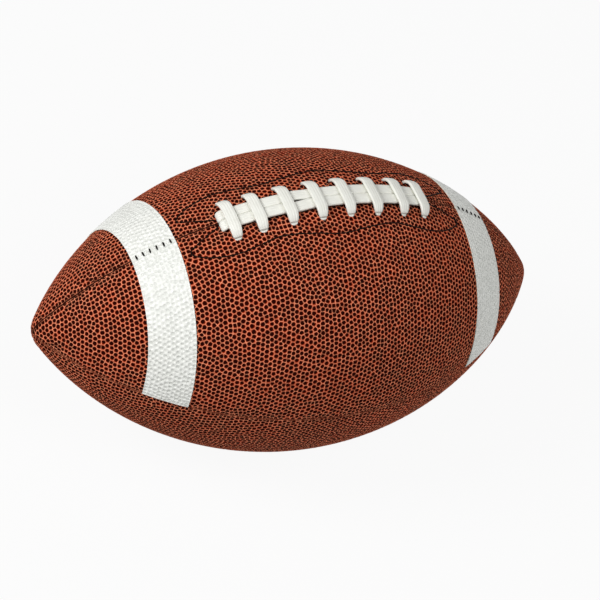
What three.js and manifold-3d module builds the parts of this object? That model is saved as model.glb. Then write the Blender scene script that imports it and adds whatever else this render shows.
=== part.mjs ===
// A youth intermediate american football: four sewn panels over linings and a bladder, laced on top.
// Millimetres, +Z up. The long axis is X, the lacing is on top, and the belly rests on z = 0.
// A place on the ball is given by its slope along the meridian, its turn about X from the lace seam
// towards the front (-Y), and its height above the cover.
import * as THREE from "three";
import { mergeVertices } from "three/addons/utils/BufferGeometryUtils.js";
import Module from "manifold-3d";

const wasm = await Module();
wasm.setup();

// Form of the ball
const LENGTH = 276;
const DIAMETER = 152.5;
const NOSE_RADIUS = 12.4;
const TIP_HOLE_RADIUS = 1;
const REST_FLAT_DEPTH = 0.55;

// Cover panels and their seams
const PANEL_THICKNESS = 2.2;
const SEAM_GAP = 0.3;
const SEAM_ROLL = 2;
const TURNED_EDGE = 1.4;
const TIP_ROLL_SHARE = 0.4;
const TIP_EDGE_SHARE = 0.25;
const SEAM_ALLOWANCE = 3.4;
const TRIMMED_ALLOWANCE = 0.4;
const TIP_TRIM_RADIUS = 16;
const THREAD_RADIUS = 0.25;
const THREAD_GAP = 0.2;

// Stripes, from the middle of the ball to their inner and outer edges
const STRIPE_INNER = 77.2;
const STRIPE_OUTER = 97;
const STRIPE_THICKNESS = 0.5;
const STRIPE_ROLL_ANGLE = THREE.MathUtils.degToRad(40);

// Layers inside the cover
const LAYER_GAP = 0.3;
const LINING_THICKNESS = 0.9;
const LINING_END_RADIUS = 14;
const FACING_THICKNESS = 1.5;
const FACING_HALF_LENGTH = 76;
const FACING_MARGIN = 3;
const FACING_SEAM_GAP = 0.4;
const TONGUE_THICKNESS = 1;
const TONGUE_HALF_WIDTH = 16;
const BLADDER_THICKNESS = 1.2;
const BLADDER_SLACK = 1.7;
const BLADDER_GROOVE = 5;

// Lace: two long strands side by side on the seam, with cross bars through holes on both sides
const LACE_WIDTH = 5.8;
const LACE_PINCHED_WIDTH = 4.4;
const LACE_THICKNESS = 1.6;
const LACE_BEVEL = 0.5;
const LACE_GAP = 0.4;
const BAR_GAP = 0.5;
const TUCK_GAP = 1;
const LACE_BEND = 1.9;
const STRAND_BEND = 2.7;
const BEND_ANGLES = [0, 18, 36, 62, 90].map(THREE.MathUtils.degToRad);
const LACE_TAIL = 12;
const BAR_STATIONS = [-51, -38.3, -23, -7.6, 7.6, 23, 38.3, 51];
const LACE_HOLE_OFFSET = 11.8;
const LACE_HOLE_CLEARANCE = 0.5;
const SLOT_STATION = 56.2;

// Stitched outline of the facings: station and offset from the seam, from its notch to the middle
const OUTLINE_NOTCH = [
  [58.5, 2.6],
  [66.5, 6],
];
const OUTLINE_EDGE = [
  [73, 10],
  [70.5, 13.6],
  [63, 17.4],
  [53, 19.3],
  [43, 18.4],
  [30, 16.8],
  [15, 18.8],
  [0, 21],
];
const STITCH_RADIUS = 0.3;

// Valve, in the middle of the rear lower panel
const VALVE_TURN = THREE.MathUtils.degToRad(-135);
const VALVE_NECK_RADIUS = 3.4;
const VALVE_BORE_RADIUS = 2.1;
const VALVE_FLANGE_RADIUS = 8;
const VALVE_FLANGE_THICKNESS = 1.4;
const VALVE_RECESS = 0.6;
const VALVE_CLEARANCE = 0.3;

// Fineness of the surfaces
const RINGS_TO_STRIPE = 4;
const RINGS_ON_STRIPE = 2;
const RINGS_TO_NOSE = 3;
const RINGS_ON_NOSE = 2;
const FACET_SHARES = [0, 0.07, 0.2, 0.35, 0.5, 0.65, 0.8, 0.93, 1];
const LINING_FACETS = 6;
const TONGUE_FACETS = 4;
const BLADDER_FACETS = 4;
const FACING_STEPS = 10;
const OUTLINE_STEPS = 40;
const THREAD_SIDES = 5;
const BORE_SIDES = 12;

const QUARTER = Math.PI / 2;
const AXIS_HEIGHT = DIAMETER / 2 - REST_FLAT_DEPTH;

// Meridian: one long arc on the flank that runs into a small arc at each nose.
const noseCentre = LENGTH / 2 - NOSE_RADIUS;
const flankRise = DIAMETER / 2 - NOSE_RADIUS;
const flankRadius = (noseCentre ** 2 + (DIAMETER / 2) ** 2 - NOSE_RADIUS ** 2) / (2 * flankRise);
const noseSlope = Math.asin(noseCentre / (flankRadius - NOSE_RADIUS));
const tipSlope = Math.acos(TIP_HOLE_RADIUS / NOSE_RADIUS);

function meridian(slope) {
  if (Math.abs(slope) <= noseSlope) {
    const r = flankRadius * Math.cos(slope) - (flankRadius - DIAMETER / 2);
    return { x: flankRadius * Math.sin(slope), r };
  }
  const x = Math.sign(slope) * noseCentre + NOSE_RADIUS * Math.sin(slope);
  return { x, r: NOSE_RADIUS * Math.cos(slope) };
}

const slopeAtStation = (x) => Math.asin(x / flankRadius);
const slopeAtRadius = (r) => Math.acos((r + flankRadius - DIAMETER / 2) / flankRadius);
const rollAt = (slope) => Math.min(SEAM_ROLL, TIP_ROLL_SHARE * meridian(slope).r);
const turnedEdgeAt = (slope) => Math.min(TURNED_EDGE, TIP_EDGE_SHARE * meridian(slope).r);

// Turn away from a seam that gives a distance from the seam's plane, at a height above the cover.
function turnBeside(slope, distance, height) {
  return Math.asin(distance / (meridian(slope).r + height * Math.cos(slope)));
}

// Turns of the panel's lengthwise facet lines, from the seam that it starts at.
function facetTurns(slope) {
  const edge = turnBeside(slope, SEAM_GAP / 2 + rollAt(slope), 0);
  return FACET_SHARES.map((share) => edge + (QUARTER - 2 * edge) * share);
}

// Point at a height above the faceted cover.
function skin(slope, turn, height) {
  const { x, r } = meridian(slope);
  const local = turn - Math.floor(turn / QUARTER) * QUARTER;
  const turns = facetTurns(slope);
  const next = turns.findIndex((t) => t > local);
  let reach = r + height * Math.cos(slope);
  if (next > 0) {
    const half = (turns[next] - turns[next - 1]) / 2;
    reach *= Math.cos(half) / Math.cos(local - turns[next] + half);
  }
  const y = -reach * Math.sin(turn);
  const z = reach * Math.cos(turn) + AXIS_HEIGHT;
  return new THREE.Vector3(x + height * Math.sin(slope), y, z);
}

// Directions at a place: along the meridian, across it towards growing turn, and out of the cover.
function directions(slope, turn) {
  const along = new THREE.Vector3(Math.cos(slope), Math.sin(slope) * Math.sin(turn), 0);
  along.z = -Math.sin(slope) * Math.cos(turn);
  const across = new THREE.Vector3(0, -Math.cos(turn), -Math.sin(turn));
  const out = new THREE.Vector3(Math.sin(slope), -Math.cos(slope) * Math.sin(turn), 0);
  out.z = Math.cos(slope) * Math.cos(turn);
  return { along, across, out };
}

// Place by station and by offset along the cover from the lace seam.
function placeAt(station, offset) {
  const slope = slopeAtStation(station);
  return { slope, turn: offset / meridian(slope).r };
}

// Even steps from one value up to another, without the last.
function spread(from, to, steps) {
  return Array.from({ length: steps }, (_, i) => from + ((to - from) * i) / steps);
}

const bothEnds = (half) => [...half.slice(1).map((v) => -v).reverse(), ...half];

// Geometry with shared vertices and faces that point out.
function closed(geometry) {
  geometry.deleteAttribute("normal");
  geometry.deleteAttribute("uv");
  const merged = mergeVertices(geometry, 1e-4);
  const position = merged.getAttribute("position");
  const index = merged.index.array;
  const corner = (i) => new THREE.Vector3().fromBufferAttribute(position, index[i]);
  let volume = 0;
  for (let i = 0; i < index.length; i += 3) {
    volume += corner(i).dot(corner(i + 1).cross(corner(i + 2)));
  }
  if (volume < 0) {
    index.reverse();
  }
  return merged;
}

// Closes a row of like loops into one body. The cap's triangles follow the loop's own way round.
function loft(loops, cap) {
  const count = loops[0].length;
  const last = (loops.length - 1) * count;
  const faces = [];
  for (let i = 0; i < last; i += count) {
    for (let j = 0; j < count; j++) {
      const a = i + j;
      const b = i + ((j + 1) % count);
      faces.push(a, b, b + count, a, b + count, a + count);
    }
  }
  for (const [a, b, c] of cap) {
    faces.push(a, c, b, last + a, last + b, last + c);
  }
  const geometry = new THREE.BufferGeometry().setFromPoints(loops.flat());
  geometry.setIndex(faces);
  return closed(geometry);
}

// Cap of a loop, seen along the long axis or as its points are drawn flat.
function capOf(points) {
  const sign = Math.sign(THREE.ShapeUtils.area(points));
  return THREE.ShapeUtils.triangulateShape(points, []).map(([a, b, c]) => {
    const area = THREE.ShapeUtils.area([points[a], points[b], points[c]]);
    return area * sign > 0 ? [a, b, c] : [a, c, b];
  });
}

// Body whose section, a loop of turns and heights, is carried along the meridian.
function shell(slopes, sectionAt) {
  const loops = slopes.map((slope) => sectionAt(slope).map(([turn, height]) => skin(slope, turn, height)));
  return loft(loops, capOf(loops[0].map(({ y, z }) => new THREE.Vector2(y, z))));
}

// Body of a flat section carried along frames, each with a centre and two directions.
function sweep(frames, sectionAt) {
  const sections = frames.map(sectionAt);
  const loops = frames.map(({ centre, side, up }, i) =>
    sections[i].map(([u, v]) => centre.clone().addScaledVector(side, u).addScaledVector(up, v)),
  );
  return loft(loops, capOf(sections[0].map(([u, v]) => new THREE.Vector2(u, v))));
}

// Frames along a row of centres. The side keeps to a wanted direction as far as the path lets it.
function framesAlong(centres, wantedSides) {
  return centres.map((centre, i) => {
    const ahead = centres[Math.min(i + 1, centres.length - 1)];
    const tangent = ahead.clone().sub(centres[Math.max(i - 1, 0)]).normalize();
    const side = wantedSides[i].clone().addScaledVector(tangent, -wantedSides[i].dot(tangent)).normalize();
    return { centre, side, up: tangent.clone().cross(side) };
  });
}

function solidOf(geometry) {
  const vertProperties = geometry.getAttribute("position").array;
  const triVerts = new Uint32Array(geometry.index.array);
  return new wasm.Manifold(new wasm.Mesh({ numProp: 3, vertProperties, triVerts }));
}

function cut(geometry, tools) {
  const rest = tools.reduce((solid, tool) => solid.subtract(solidOf(tool)), solidOf(geometry));
  const mesh = rest.getMesh();
  const result = new THREE.BufferGeometry();
  result.setAttribute("position", new THREE.BufferAttribute(mesh.vertProperties, 3));
  result.setIndex(new THREE.BufferAttribute(mesh.triVerts, 1));
  return result;
}

// Puts a geometry, made about +Z, upright on a place on the cover.
function setOnCover(geometry, slope, turn, height) {
  const { along, across, out } = directions(slope, turn);
  const matrix = new THREE.Matrix4().makeBasis(along, across.negate(), out);
  return geometry.applyMatrix4(matrix.setPosition(skin(slope, turn, height)));
}

const circle = (radius, sides) =>
  spread(0, 2 * Math.PI, sides).map((a) => [radius * Math.cos(a), radius * Math.sin(a)]);

const football = new THREE.Group();

function add(name, geometry, color, roughness) {
  geometry.computeVertexNormals();
  const material = new THREE.MeshStandardMaterial({ color, roughness, metalness: 0, flatShading: true });
  const mesh = new THREE.Mesh(geometry, material);
  mesh.name = name;
  football.add(mesh);
}

// Stations of the rings of the cover, with lines on the stripes' edges.
const coverHalf = [
  ...spread(0, slopeAtStation(STRIPE_INNER), RINGS_TO_STRIPE),
  ...spread(slopeAtStation(STRIPE_INNER), slopeAtStation(STRIPE_OUTER), RINGS_ON_STRIPE),
  ...spread(slopeAtStation(STRIPE_OUTER), noseSlope, RINGS_TO_NOSE),
  ...spread(noseSlope, tipSlope, RINGS_ON_NOSE),
  tipSlope,
];
const coverSlopes = bothEnds(coverHalf);
const flankSlopes = coverSlopes.filter((slope) => Math.abs(slope) <= noseSlope);

// Depths below the cover of the faces of the inner layers.
const liningOuter = PANEL_THICKNESS + LAYER_GAP;
const liningInner = liningOuter + LINING_THICKNESS;
const facingInner = liningOuter + FACING_THICKNESS;
const laceInside = facingInner + TUCK_GAP + LACE_THICKNESS / 2;
const laceInnermost = laceInside + LACE_THICKNESS / 2;
const tongueOuter = laceInnermost + LACE_GAP;
const tongueInner = tongueOuter + TONGUE_THICKNESS;
const bladderOuter = liningInner + LAYER_GAP + BLADDER_SLACK;
const bladderAtSeam = PANEL_THICKNESS + SEAM_ALLOWANCE + 2 * LAYER_GAP;
const bladderAtTongue = tongueInner + 2 * LAYER_GAP;

// Lace holes and the slot at each end of the lacing, as tools that cut through the cover and facings.
function slotTool(length, width) {
  const straight = (length - width) / 2;
  const outline = new THREE.Shape();
  outline.absarc(straight, 0, width / 2, -QUARTER, QUARTER);
  outline.absarc(-straight, 0, width / 2, QUARTER, 3 * QUARTER);
  const depth = 3 * facingInner;
  const block = new THREE.ExtrudeGeometry(outline, { depth, bevelEnabled: false, curveSegments: 1 });
  return block.translate(0, 0, -depth / 2);
}

const slotWidth = LACE_THICKNESS + 2 * LACE_HOLE_CLEARANCE;
const strandOffset = (LACE_WIDTH + LACE_GAP) / 2;

function laceCuts(side) {
  const holes = BAR_STATIONS.map((station) => {
    const { slope, turn } = placeAt(station, side * LACE_HOLE_OFFSET);
    const tool = slotTool(LACE_PINCHED_WIDTH + 2 * LACE_HOLE_CLEARANCE, slotWidth);
    return closed(setOnCover(tool, slope, turn, 0));
  });
  const slots = [-SLOT_STATION, SLOT_STATION].map((station) => {
    const length = 2 * (strandOffset + LACE_WIDTH / 2 + LACE_HOLE_CLEARANCE);
    const tool = slotTool(length, slotWidth).rotateZ(QUARTER);
    return closed(setOnCover(tool, slopeAtStation(station), 0, 0));
  });
  return [...holes, ...slots];
}

// Valve hole through the cover, the lining and the bladder.
function valveCut() {
  const length = 4 * bladderAtSeam;
  const radius = VALVE_NECK_RADIUS + VALVE_CLEARANCE;
  const tool = new THREE.CylinderGeometry(radius, radius, length, BORE_SIDES).rotateX(QUARTER);
  return closed(setOnCover(tool, 0, VALVE_TURN, 0));
}

// Everything below the floor, which flattens the belly where it rests.
function floorCut() {
  const depth = DIAMETER;
  return closed(new THREE.BoxGeometry(LENGTH, DIAMETER, depth).translate(0, 0, -depth / 2));
}

// Edge of a panel at a seam: it rolls in and turns down into the seam allowance.
function seamEdge(slope, laceSeam) {
  const { x, r } = meridian(slope);
  const roll = rollAt(slope);
  const half = SEAM_GAP / 2;
  const trimmed = r < TIP_TRIM_RADIUS || (laceSeam && Math.abs(x) <= STRIPE_INNER);
  const depth = PANEL_THICKNESS + (trimmed ? TRIMMED_ALLOWANCE : SEAM_ALLOWANCE);
  const inner = half + turnedEdgeAt(slope);
  const bend = Math.PI / 4;
  return [
    [half + roll * (1 - Math.sin(bend)), -roll * (1 - Math.cos(bend))],
    [half, -roll],
    [half, -depth],
    [inner, -depth],
    [inner, -PANEL_THICKNESS],
  ].map(([distance, height]) => [turnBeside(slope, distance, height), height]);
}

// Cover panel between two seams a quarter turn apart.
function panelSection(slope, start, lacedEdge) {
  const turns = facetTurns(slope).map((turn) => start + turn);
  const end = start + QUARTER;
  const startEdge = seamEdge(slope, lacedEdge === "start").map(([turn, height]) => [start + turn, height]);
  const endEdge = seamEdge(slope, lacedEdge === "end").map(([turn, height]) => [end - turn, height]);
  const outside = turns.map((turn) => [turn, 0]);
  const inside = turns.map((turn) => [turn, -PANEL_THICKNESS]);
  return [...outside, ...endEdge, ...inside.reverse(), ...startEdge.reverse()];
}

// Offset of the facings' outer edge from the seam, a margin outside their stitched outline.
function facingEdge(station) {
  const points = [...OUTLINE_EDGE].sort((a, b) => a[0] - b[0]);
  const reach = Math.abs(station);
  const next = points.findIndex(([x]) => x > reach);
  if (next < 1) {
    return points.at(next).at(1) + FACING_MARGIN;
  }
  const [x0, offset0] = points[next - 1];
  const [x1, offset1] = points[next];
  return offset0 + ((offset1 - offset0) * (reach - x0)) / (x1 - x0) + FACING_MARGIN;
}

const widestFacing = Math.max(...OUTLINE_EDGE.map(([, offset]) => offset)) + FACING_MARGIN;

// Lining behind a panel. On the upper panels it stops short of the lace facing.
function liningSection(slope, start, lacedEdge) {
  const { x, r } = meridian(slope);
  const turns = facetTurns(slope);
  const besideFacing = Math.abs(x) <= STRIPE_INNER ? (widestFacing + 2 * LAYER_GAP) / r : 0;
  const from = start + Math.max(turns[0], lacedEdge === "start" ? besideFacing : 0);
  const to = start + QUARTER - Math.max(turns[0], lacedEdge === "end" ? besideFacing : 0);
  const across = [...spread(from, to, LINING_FACETS), to];
  const outside = across.map((turn) => [turn, -liningOuter]);
  const inside = across.map((turn) => [turn, -liningInner]);
  return [...outside, ...inside.reverse()];
}

// The four panels with their linings
const liningEnd = slopeAtRadius(LINING_END_RADIUS);
const liningSlopes = bothEnds(coverHalf.filter((slope, i) => i % 2 === 0 && slope < liningEnd));
const panels = [
  { name: "front_upper", start: 0, lacedEdge: "start", cuts: laceCuts(1), liningCuts: [] },
  { name: "front_lower", start: QUARTER, cuts: [floorCut()], liningCuts: [] },
  { name: "rear_lower", start: -2 * QUARTER, cuts: [floorCut(), valveCut()], liningCuts: [valveCut()] },
  { name: "rear_upper", start: -QUARTER, lacedEdge: "end", cuts: laceCuts(-1), liningCuts: [] },
];
for (const { name, start, lacedEdge, cuts, liningCuts } of panels) {
  const panel = shell(coverSlopes, (slope) => panelSection(slope, start, lacedEdge));
  const lining = shell(liningSlopes, (slope) => liningSection(slope, start, lacedEdge));
  add(name + "_panel", cut(panel, cuts), "#8a4a30", 0.6);
  add(name + "_lining", cut(lining, liningCuts), "#cfc6b2", 0.9);
}

// White stripes, bonded on the upper panels and rolled into the seams at both ends
function stripeSection(slope, start) {
  const turns = facetTurns(slope).map((turn) => start + turn);
  const rollCentre = SEAM_GAP / 2 + SEAM_ROLL;
  const face = (height) => {
    const reach = SEAM_ROLL + height;
    const drop = reach * Math.cos(STRIPE_ROLL_ANGLE) - SEAM_ROLL;
    const end = turnBeside(slope, rollCentre - reach * Math.sin(STRIPE_ROLL_ANGLE), drop);
    return [[start + end, drop], ...turns.map((turn) => [turn, height]), [start + QUARTER - end, drop]];
  };
  return [...face(LAYER_GAP + STRIPE_THICKNESS), ...face(LAYER_GAP).reverse()];
}

const onStripe = (slope) => slope >= slopeAtStation(STRIPE_INNER) && slope <= slopeAtStation(STRIPE_OUTER);
const rightStripeSlopes = coverSlopes.filter(onStripe);
const leftStripeSlopes = rightStripeSlopes.map((slope) => -slope);
for (const [side, start] of [["front", 0], ["rear", -QUARTER]]) {
  for (const [end, slopes] of [["left", leftStripeSlopes], ["right", rightStripeSlopes]]) {
    const stripe = shell(slopes, (slope) => stripeSection(slope, start));
    add(side + "_" + end + "_stripe", stripe, "#e8e8e4", 0.5);
  }
}

// Seam threads, each a cord in the valley between two rolled edges
const valleyReach = (SEAM_ROLL + THREAD_GAP + THREAD_RADIUS) ** 2 - (SEAM_ROLL + SEAM_GAP / 2) ** 2;
const threadDepth = Math.max(SEAM_ROLL - Math.sqrt(valleyReach), REST_FLAT_DEPTH + THREAD_RADIUS);

function seamThread(slopes, turn) {
  const centres = slopes.map((slope) => skin(slope, turn, -threadDepth));
  const sides = slopes.map((slope) => directions(slope, turn).across);
  return sweep(framesAlong(centres, sides), () => circle(THREAD_RADIUS, THREAD_SIDES));
}

const besideLacing = flankSlopes.filter((slope) => slope >= slopeAtStation(STRIPE_INNER));
const seams = [
  { name: "right_lace_seam", slopes: besideLacing, turn: 0 },
  { name: "left_lace_seam", slopes: besideLacing.map((slope) => -slope), turn: 0 },
  { name: "front_seam", slopes: flankSlopes, turn: QUARTER },
  { name: "bottom_seam", slopes: flankSlopes, turn: 2 * QUARTER },
  { name: "rear_seam", slopes: flankSlopes, turn: -QUARTER },
];
for (const { name, slopes, turn } of seams) {
  add(name + "_thread", seamThread(slopes, turn), "#241a16", 0.8);
}

// Lace facings behind the holes, with the stitching that holds them showing on the cover
const facingEnd = slopeAtStation(FACING_HALF_LENGTH);
const facingSlopes = [...spread(-facingEnd, facingEnd, FACING_STEPS), facingEnd];

function facingSection(slope, side) {
  const { x, r } = meridian(slope);
  const first = turnBeside(slope, SEAM_GAP / 2 + TURNED_EDGE + FACING_SEAM_GAP, -facingInner);
  const last = facingEdge(x) / r;
  const turns = [first, facetTurns(slope)[1], last].map((turn) => side * turn);
  const outside = turns.map((turn) => [turn, -liningOuter]);
  const inside = turns.map((turn) => [turn, -facingInner]);
  return [...outside, ...inside.reverse()];
}

function outlineStitch(side) {
  const half = [...OUTLINE_NOTCH, ...OUTLINE_EDGE];
  const other = half.slice(0, -1).map(([x, offset]) => [-x, offset]);
  const points = [...half, ...other.reverse()].map(([x, offset]) => new THREE.Vector3(x, side * offset, 0));
  const path = new THREE.CatmullRomCurve3(points, false, "centripetal").getSpacedPoints(OUTLINE_STEPS);
  const places = path.map((p) => placeAt(p.x, p.y));
  const centres = places.map(({ slope, turn }) => skin(slope, turn, LAYER_GAP + STITCH_RADIUS));
  const outs = places.map(({ slope, turn }) => directions(slope, turn).out);
  return sweep(framesAlong(centres, outs), () => circle(STITCH_RADIUS, THREAD_SIDES));
}

for (const [name, side] of [["front", 1], ["rear", -1]]) {
  const facing = shell(facingSlopes, (slope) => facingSection(slope, side));
  add(name + "_lace_facing", cut(facing, laceCuts(side)), "#b9ac93", 0.9);
  add(name + "_facing_stitch", outlineStitch(side), "#15100e", 0.8);
}

// Tongue under the lacing, which keeps the lace off the bladder
function tongueSection(slope) {
  const last = TONGUE_HALF_WIDTH / meridian(slope).r;
  const turns = [...spread(-last, last, TONGUE_FACETS), last];
  const outside = turns.map((turn) => [turn, -tongueOuter]);
  const inside = turns.map((turn) => [turn, -tongueInner]);
  return [...outside, ...inside.reverse()];
}
add("lace_tongue", shell(facingSlopes, tongueSection), "#d8d0bf", 0.9);

// Lace: one strap from its tucked start along the front strand, over the bars and back as the rear strand
const strandLevel = LACE_GAP + LACE_THICKNESS / 2;
const barLevel = strandLevel + LACE_THICKNESS + BAR_GAP;
const strandEdge = strandOffset + LACE_WIDTH / 2;
const underFacing = -facingInner - LACE_GAP;
const route = [];

function step(station, offset, height, width, wanted) {
  route.push({ station, offset, height, width, wanted });
}

// Quarter bend out of a hole: how far it has come across, its height, and its width, which grows as it rises
function quarterBend(run, from, to) {
  return BEND_ANGLES.map((angle) => {
    const rise = Math.sin(angle);
    const width = LACE_PINCHED_WIDTH + (LACE_WIDTH - LACE_PINCHED_WIDTH) * rise;
    return { across: run * (1 - Math.cos(angle)), height: from + (to - from) * rise, width };
  });
}

// Strand along the seam from the right slot to the left one, through both
function strand(offset) {
  const bend = quarterBend(STRAND_BEND, -LACE_THICKNESS / 2, strandLevel);
  const rise = [
    [SLOT_STATION, underFacing, LACE_PINCHED_WIDTH],
    ...bend.map(({ across, height, width }) => [SLOT_STATION - across, height, width]),
  ];
  const flat = BAR_STATIONS.slice(1, -1).map((station) => [-station, strandLevel, LACE_WIDTH]);
  const fall = rise.map(([station, height, width]) => [-station, height, width]).reverse();
  for (const [station, height, width] of [...rise, ...flat, ...fall]) {
    step(station, offset, height, width, "back");
  }
}

// Rounded corner of a hidden run, halfway round
const cornerAcross = LACE_BEND * (1 - Math.SQRT1_2);
const cornerHeight = -laceInside + cornerAcross;

// Hidden run inside the facings from one hole to the next
function tuck([fromStation, fromOffset], [toStation, toOffset], fromWanted, toWanted) {
  const run = Math.hypot(toStation - fromStation, toOffset - fromOffset);
  const bends = [
    [cornerAcross, cornerHeight, fromWanted],
    [LACE_BEND, -laceInside, fromWanted],
    [run / 2, -laceInside, toWanted],
    [run - LACE_BEND, -laceInside, toWanted],
    [run - cornerAcross, cornerHeight, toWanted],
  ];
  for (const [distance, height, wanted] of bends) {
    const share = distance / run;
    const station = fromStation + (toStation - fromStation) * share;
    step(station, fromOffset + (toOffset - fromOffset) * share, height, LACE_PINCHED_WIDTH, wanted);
  }
}

// Tail of the strap beyond a slot, given from its end to the slot
function tailSteps(slotStation) {
  const outward = Math.sign(slotStation);
  return [
    [slotStation + outward * LACE_TAIL, -laceInside],
    [slotStation + outward * LACE_BEND, -laceInside],
    [slotStation + outward * cornerAcross, cornerHeight],
  ];
}

// Bar from the front hole over both strands to the rear hole
function bar(station) {
  const bend = quarterBend(LACE_HOLE_OFFSET - strandEdge + LACE_GAP, 0, barLevel);
  const half = [
    [LACE_HOLE_OFFSET, underFacing, LACE_PINCHED_WIDTH],
    ...bend.map(({ across, height, width }) => [LACE_HOLE_OFFSET - across, height, width]),
    [strandOffset / 2, barLevel, LACE_WIDTH],
  ];
  const other = half.map(([offset, height, width]) => [-offset, height, width]).reverse();
  for (const [offset, height, width] of [...half, ...other]) {
    step(station, offset, height, width, "along");
  }
}

const firstBar = BAR_STATIONS.at(0);
const lastBar = BAR_STATIONS.at(-1);
for (const [station, height] of tailSteps(SLOT_STATION)) {
  step(station, strandOffset, height, LACE_PINCHED_WIDTH, "back");
}
strand(strandOffset);
tuck([-SLOT_STATION, strandOffset], [firstBar, LACE_HOLE_OFFSET], "back", "along");
BAR_STATIONS.forEach((station, i) => {
  bar(station);
  if (station !== lastBar) {
    tuck([station, -LACE_HOLE_OFFSET], [BAR_STATIONS[i + 1], LACE_HOLE_OFFSET], "along", "along");
  }
});
tuck([lastBar, -LACE_HOLE_OFFSET], [SLOT_STATION, -strandOffset], "along", "back");
strand(-strandOffset);
for (const [station, height] of tailSteps(-SLOT_STATION).reverse()) {
  step(station, -strandOffset, height, LACE_PINCHED_WIDTH, "back");
}

const laceCentres = route.map(({ station, offset, height }) => {
  const { slope, turn } = placeAt(station, offset);
  return skin(slope, turn, height);
});
const laceSides = route.map(({ station, offset, wanted }) => {
  const { slope, turn } = placeAt(station, offset);
  const { along, across } = directions(slope, turn);
  return wanted === "along" ? along : across.negate();
});
const laceFrames = framesAlong(laceCentres, laceSides);

function laceSection(frame, i) {
  const half = route[i].width / 2;
  const shoulder = half - LACE_BEVEL;
  const thick = LACE_THICKNESS / 2;
  return [
    [half, 0],
    [shoulder, thick],
    [-shoulder, thick],
    [-half, 0],
    [-shoulder, -thick],
    [shoulder, -thick],
  ];
}
add("lace", sweep(laceFrames, laceSection), "#ecece4", 0.6);

// Bladder: it fills the linings, with grooves at the seams and a hollow for the tongue and the lace
function bladderSection(slope, wall) {
  const { x, r } = meridian(slope);
  const groove = Math.asin(Math.min(BLADDER_GROOVE / r, Math.sin(QUARTER / 6)));
  const between = spread(0, QUARTER, BLADDER_FACETS).slice(1);
  const local = [0, groove, ...between, QUARTER - groove];
  const turns = [0, 1, 2, 3].flatMap((quarter) => local.map((turn) => turn + quarter * QUARTER));
  return turns.map((turn) => {
    const fromTop = Math.min(turn, 4 * QUARTER - turn);
    const fromSeam = Math.abs(turn - Math.round(turn / QUARTER) * QUARTER);
    const underTongue = Math.abs(x) < FACING_HALF_LENGTH + 2 * BLADDER_GROOVE && fromTop < QUARTER / 3;
    const nearSeam = fromSeam < QUARTER / 5 || r < 2 * TIP_TRIM_RADIUS;
    const depth = Math.max(underTongue ? bladderAtTongue : bladderOuter, nearSeam ? bladderAtSeam : 0);
    return [turn, -depth - wall];
  });
}

const hollowEnd = slopeAtStation(FACING_HALF_LENGTH + BLADDER_GROOVE);
const bladderSlopes = bothEnds([
  ...spread(0, hollowEnd, 3),
  ...spread(hollowEnd, noseSlope, 4),
  noseSlope,
]);
const bladderOutside = shell(bladderSlopes, (slope) => bladderSection(slope, 0));
const bladderInside = shell(bladderSlopes.slice(1, -1), (slope) => bladderSection(slope, BLADDER_THICKNESS));
add("bladder", cut(bladderOutside, [bladderInside, valveCut()]), "#2b2b2d", 0.7);

// Valve: a rubber body with its flange inside the bladder, and the core that the needle goes through
const bladderFall = VALVE_FLANGE_RADIUS * Math.tan(QUARTER / BLADDER_FACETS / 2);
const flangeTop = -(bladderOuter + BLADDER_THICKNESS + bladderFall + VALVE_CLEARANCE);
const flangeBottom = flangeTop - VALVE_FLANGE_THICKNESS;
const valveProfile = [
  [VALVE_BORE_RADIUS, -VALVE_RECESS],
  [VALVE_BORE_RADIUS, flangeBottom],
  [VALVE_FLANGE_RADIUS, flangeBottom],
  [VALVE_FLANGE_RADIUS, flangeTop],
  [VALVE_NECK_RADIUS, flangeTop],
  [VALVE_NECK_RADIUS, -VALVE_RECESS],
  [VALVE_BORE_RADIUS, -VALVE_RECESS],
].map(([radius, height]) => new THREE.Vector2(radius, height));
const valveBody = new THREE.LatheGeometry(valveProfile, BORE_SIDES).rotateX(QUARTER);
add("valve_body", closed(setOnCover(valveBody, 0, VALVE_TURN, 0)), "#3b342f", 0.7);

const coreRadius = VALVE_BORE_RADIUS - VALVE_CLEARANCE;
const coreLength = -VALVE_RECESS - flangeBottom - VALVE_RECESS;
const coreMiddle = (flangeBottom - VALVE_RECESS) / 2;
const valveCore = new THREE.CylinderGeometry(coreRadius, coreRadius, coreLength, BORE_SIDES).rotateX(QUARTER);
add("valve_core", closed(setOnCover(valveCore, 0, VALVE_TURN, coreMiddle)), "#1d1b1a", 0.8);

export default football;
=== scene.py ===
import math

import bpy
import numpy as np
from mathutils import Matrix, Vector


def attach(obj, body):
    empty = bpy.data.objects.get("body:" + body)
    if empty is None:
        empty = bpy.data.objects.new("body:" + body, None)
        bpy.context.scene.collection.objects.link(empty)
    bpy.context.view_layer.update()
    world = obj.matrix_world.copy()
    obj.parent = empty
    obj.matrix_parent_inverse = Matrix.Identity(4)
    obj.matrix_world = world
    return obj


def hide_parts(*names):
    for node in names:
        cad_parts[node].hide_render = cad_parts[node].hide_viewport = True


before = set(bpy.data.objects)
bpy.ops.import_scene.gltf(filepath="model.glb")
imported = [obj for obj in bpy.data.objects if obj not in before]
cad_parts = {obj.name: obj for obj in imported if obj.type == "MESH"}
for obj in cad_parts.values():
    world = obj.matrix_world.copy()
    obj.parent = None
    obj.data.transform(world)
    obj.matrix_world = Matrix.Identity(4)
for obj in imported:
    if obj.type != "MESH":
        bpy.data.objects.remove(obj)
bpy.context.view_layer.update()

# Cover: four panels of composite leather, a polyurethane skin on a backing cloth with embossed pits.
# Each is cut as a pointed lens and sewn to its neighbours inside out, so its edges roll into the seams.
# A panel is drawn flat, with its height as Z, and then wrapped on the ball and embossed.
BALL_LENGTH = 0.276
BALL_DIAMETER = 0.1525
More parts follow.
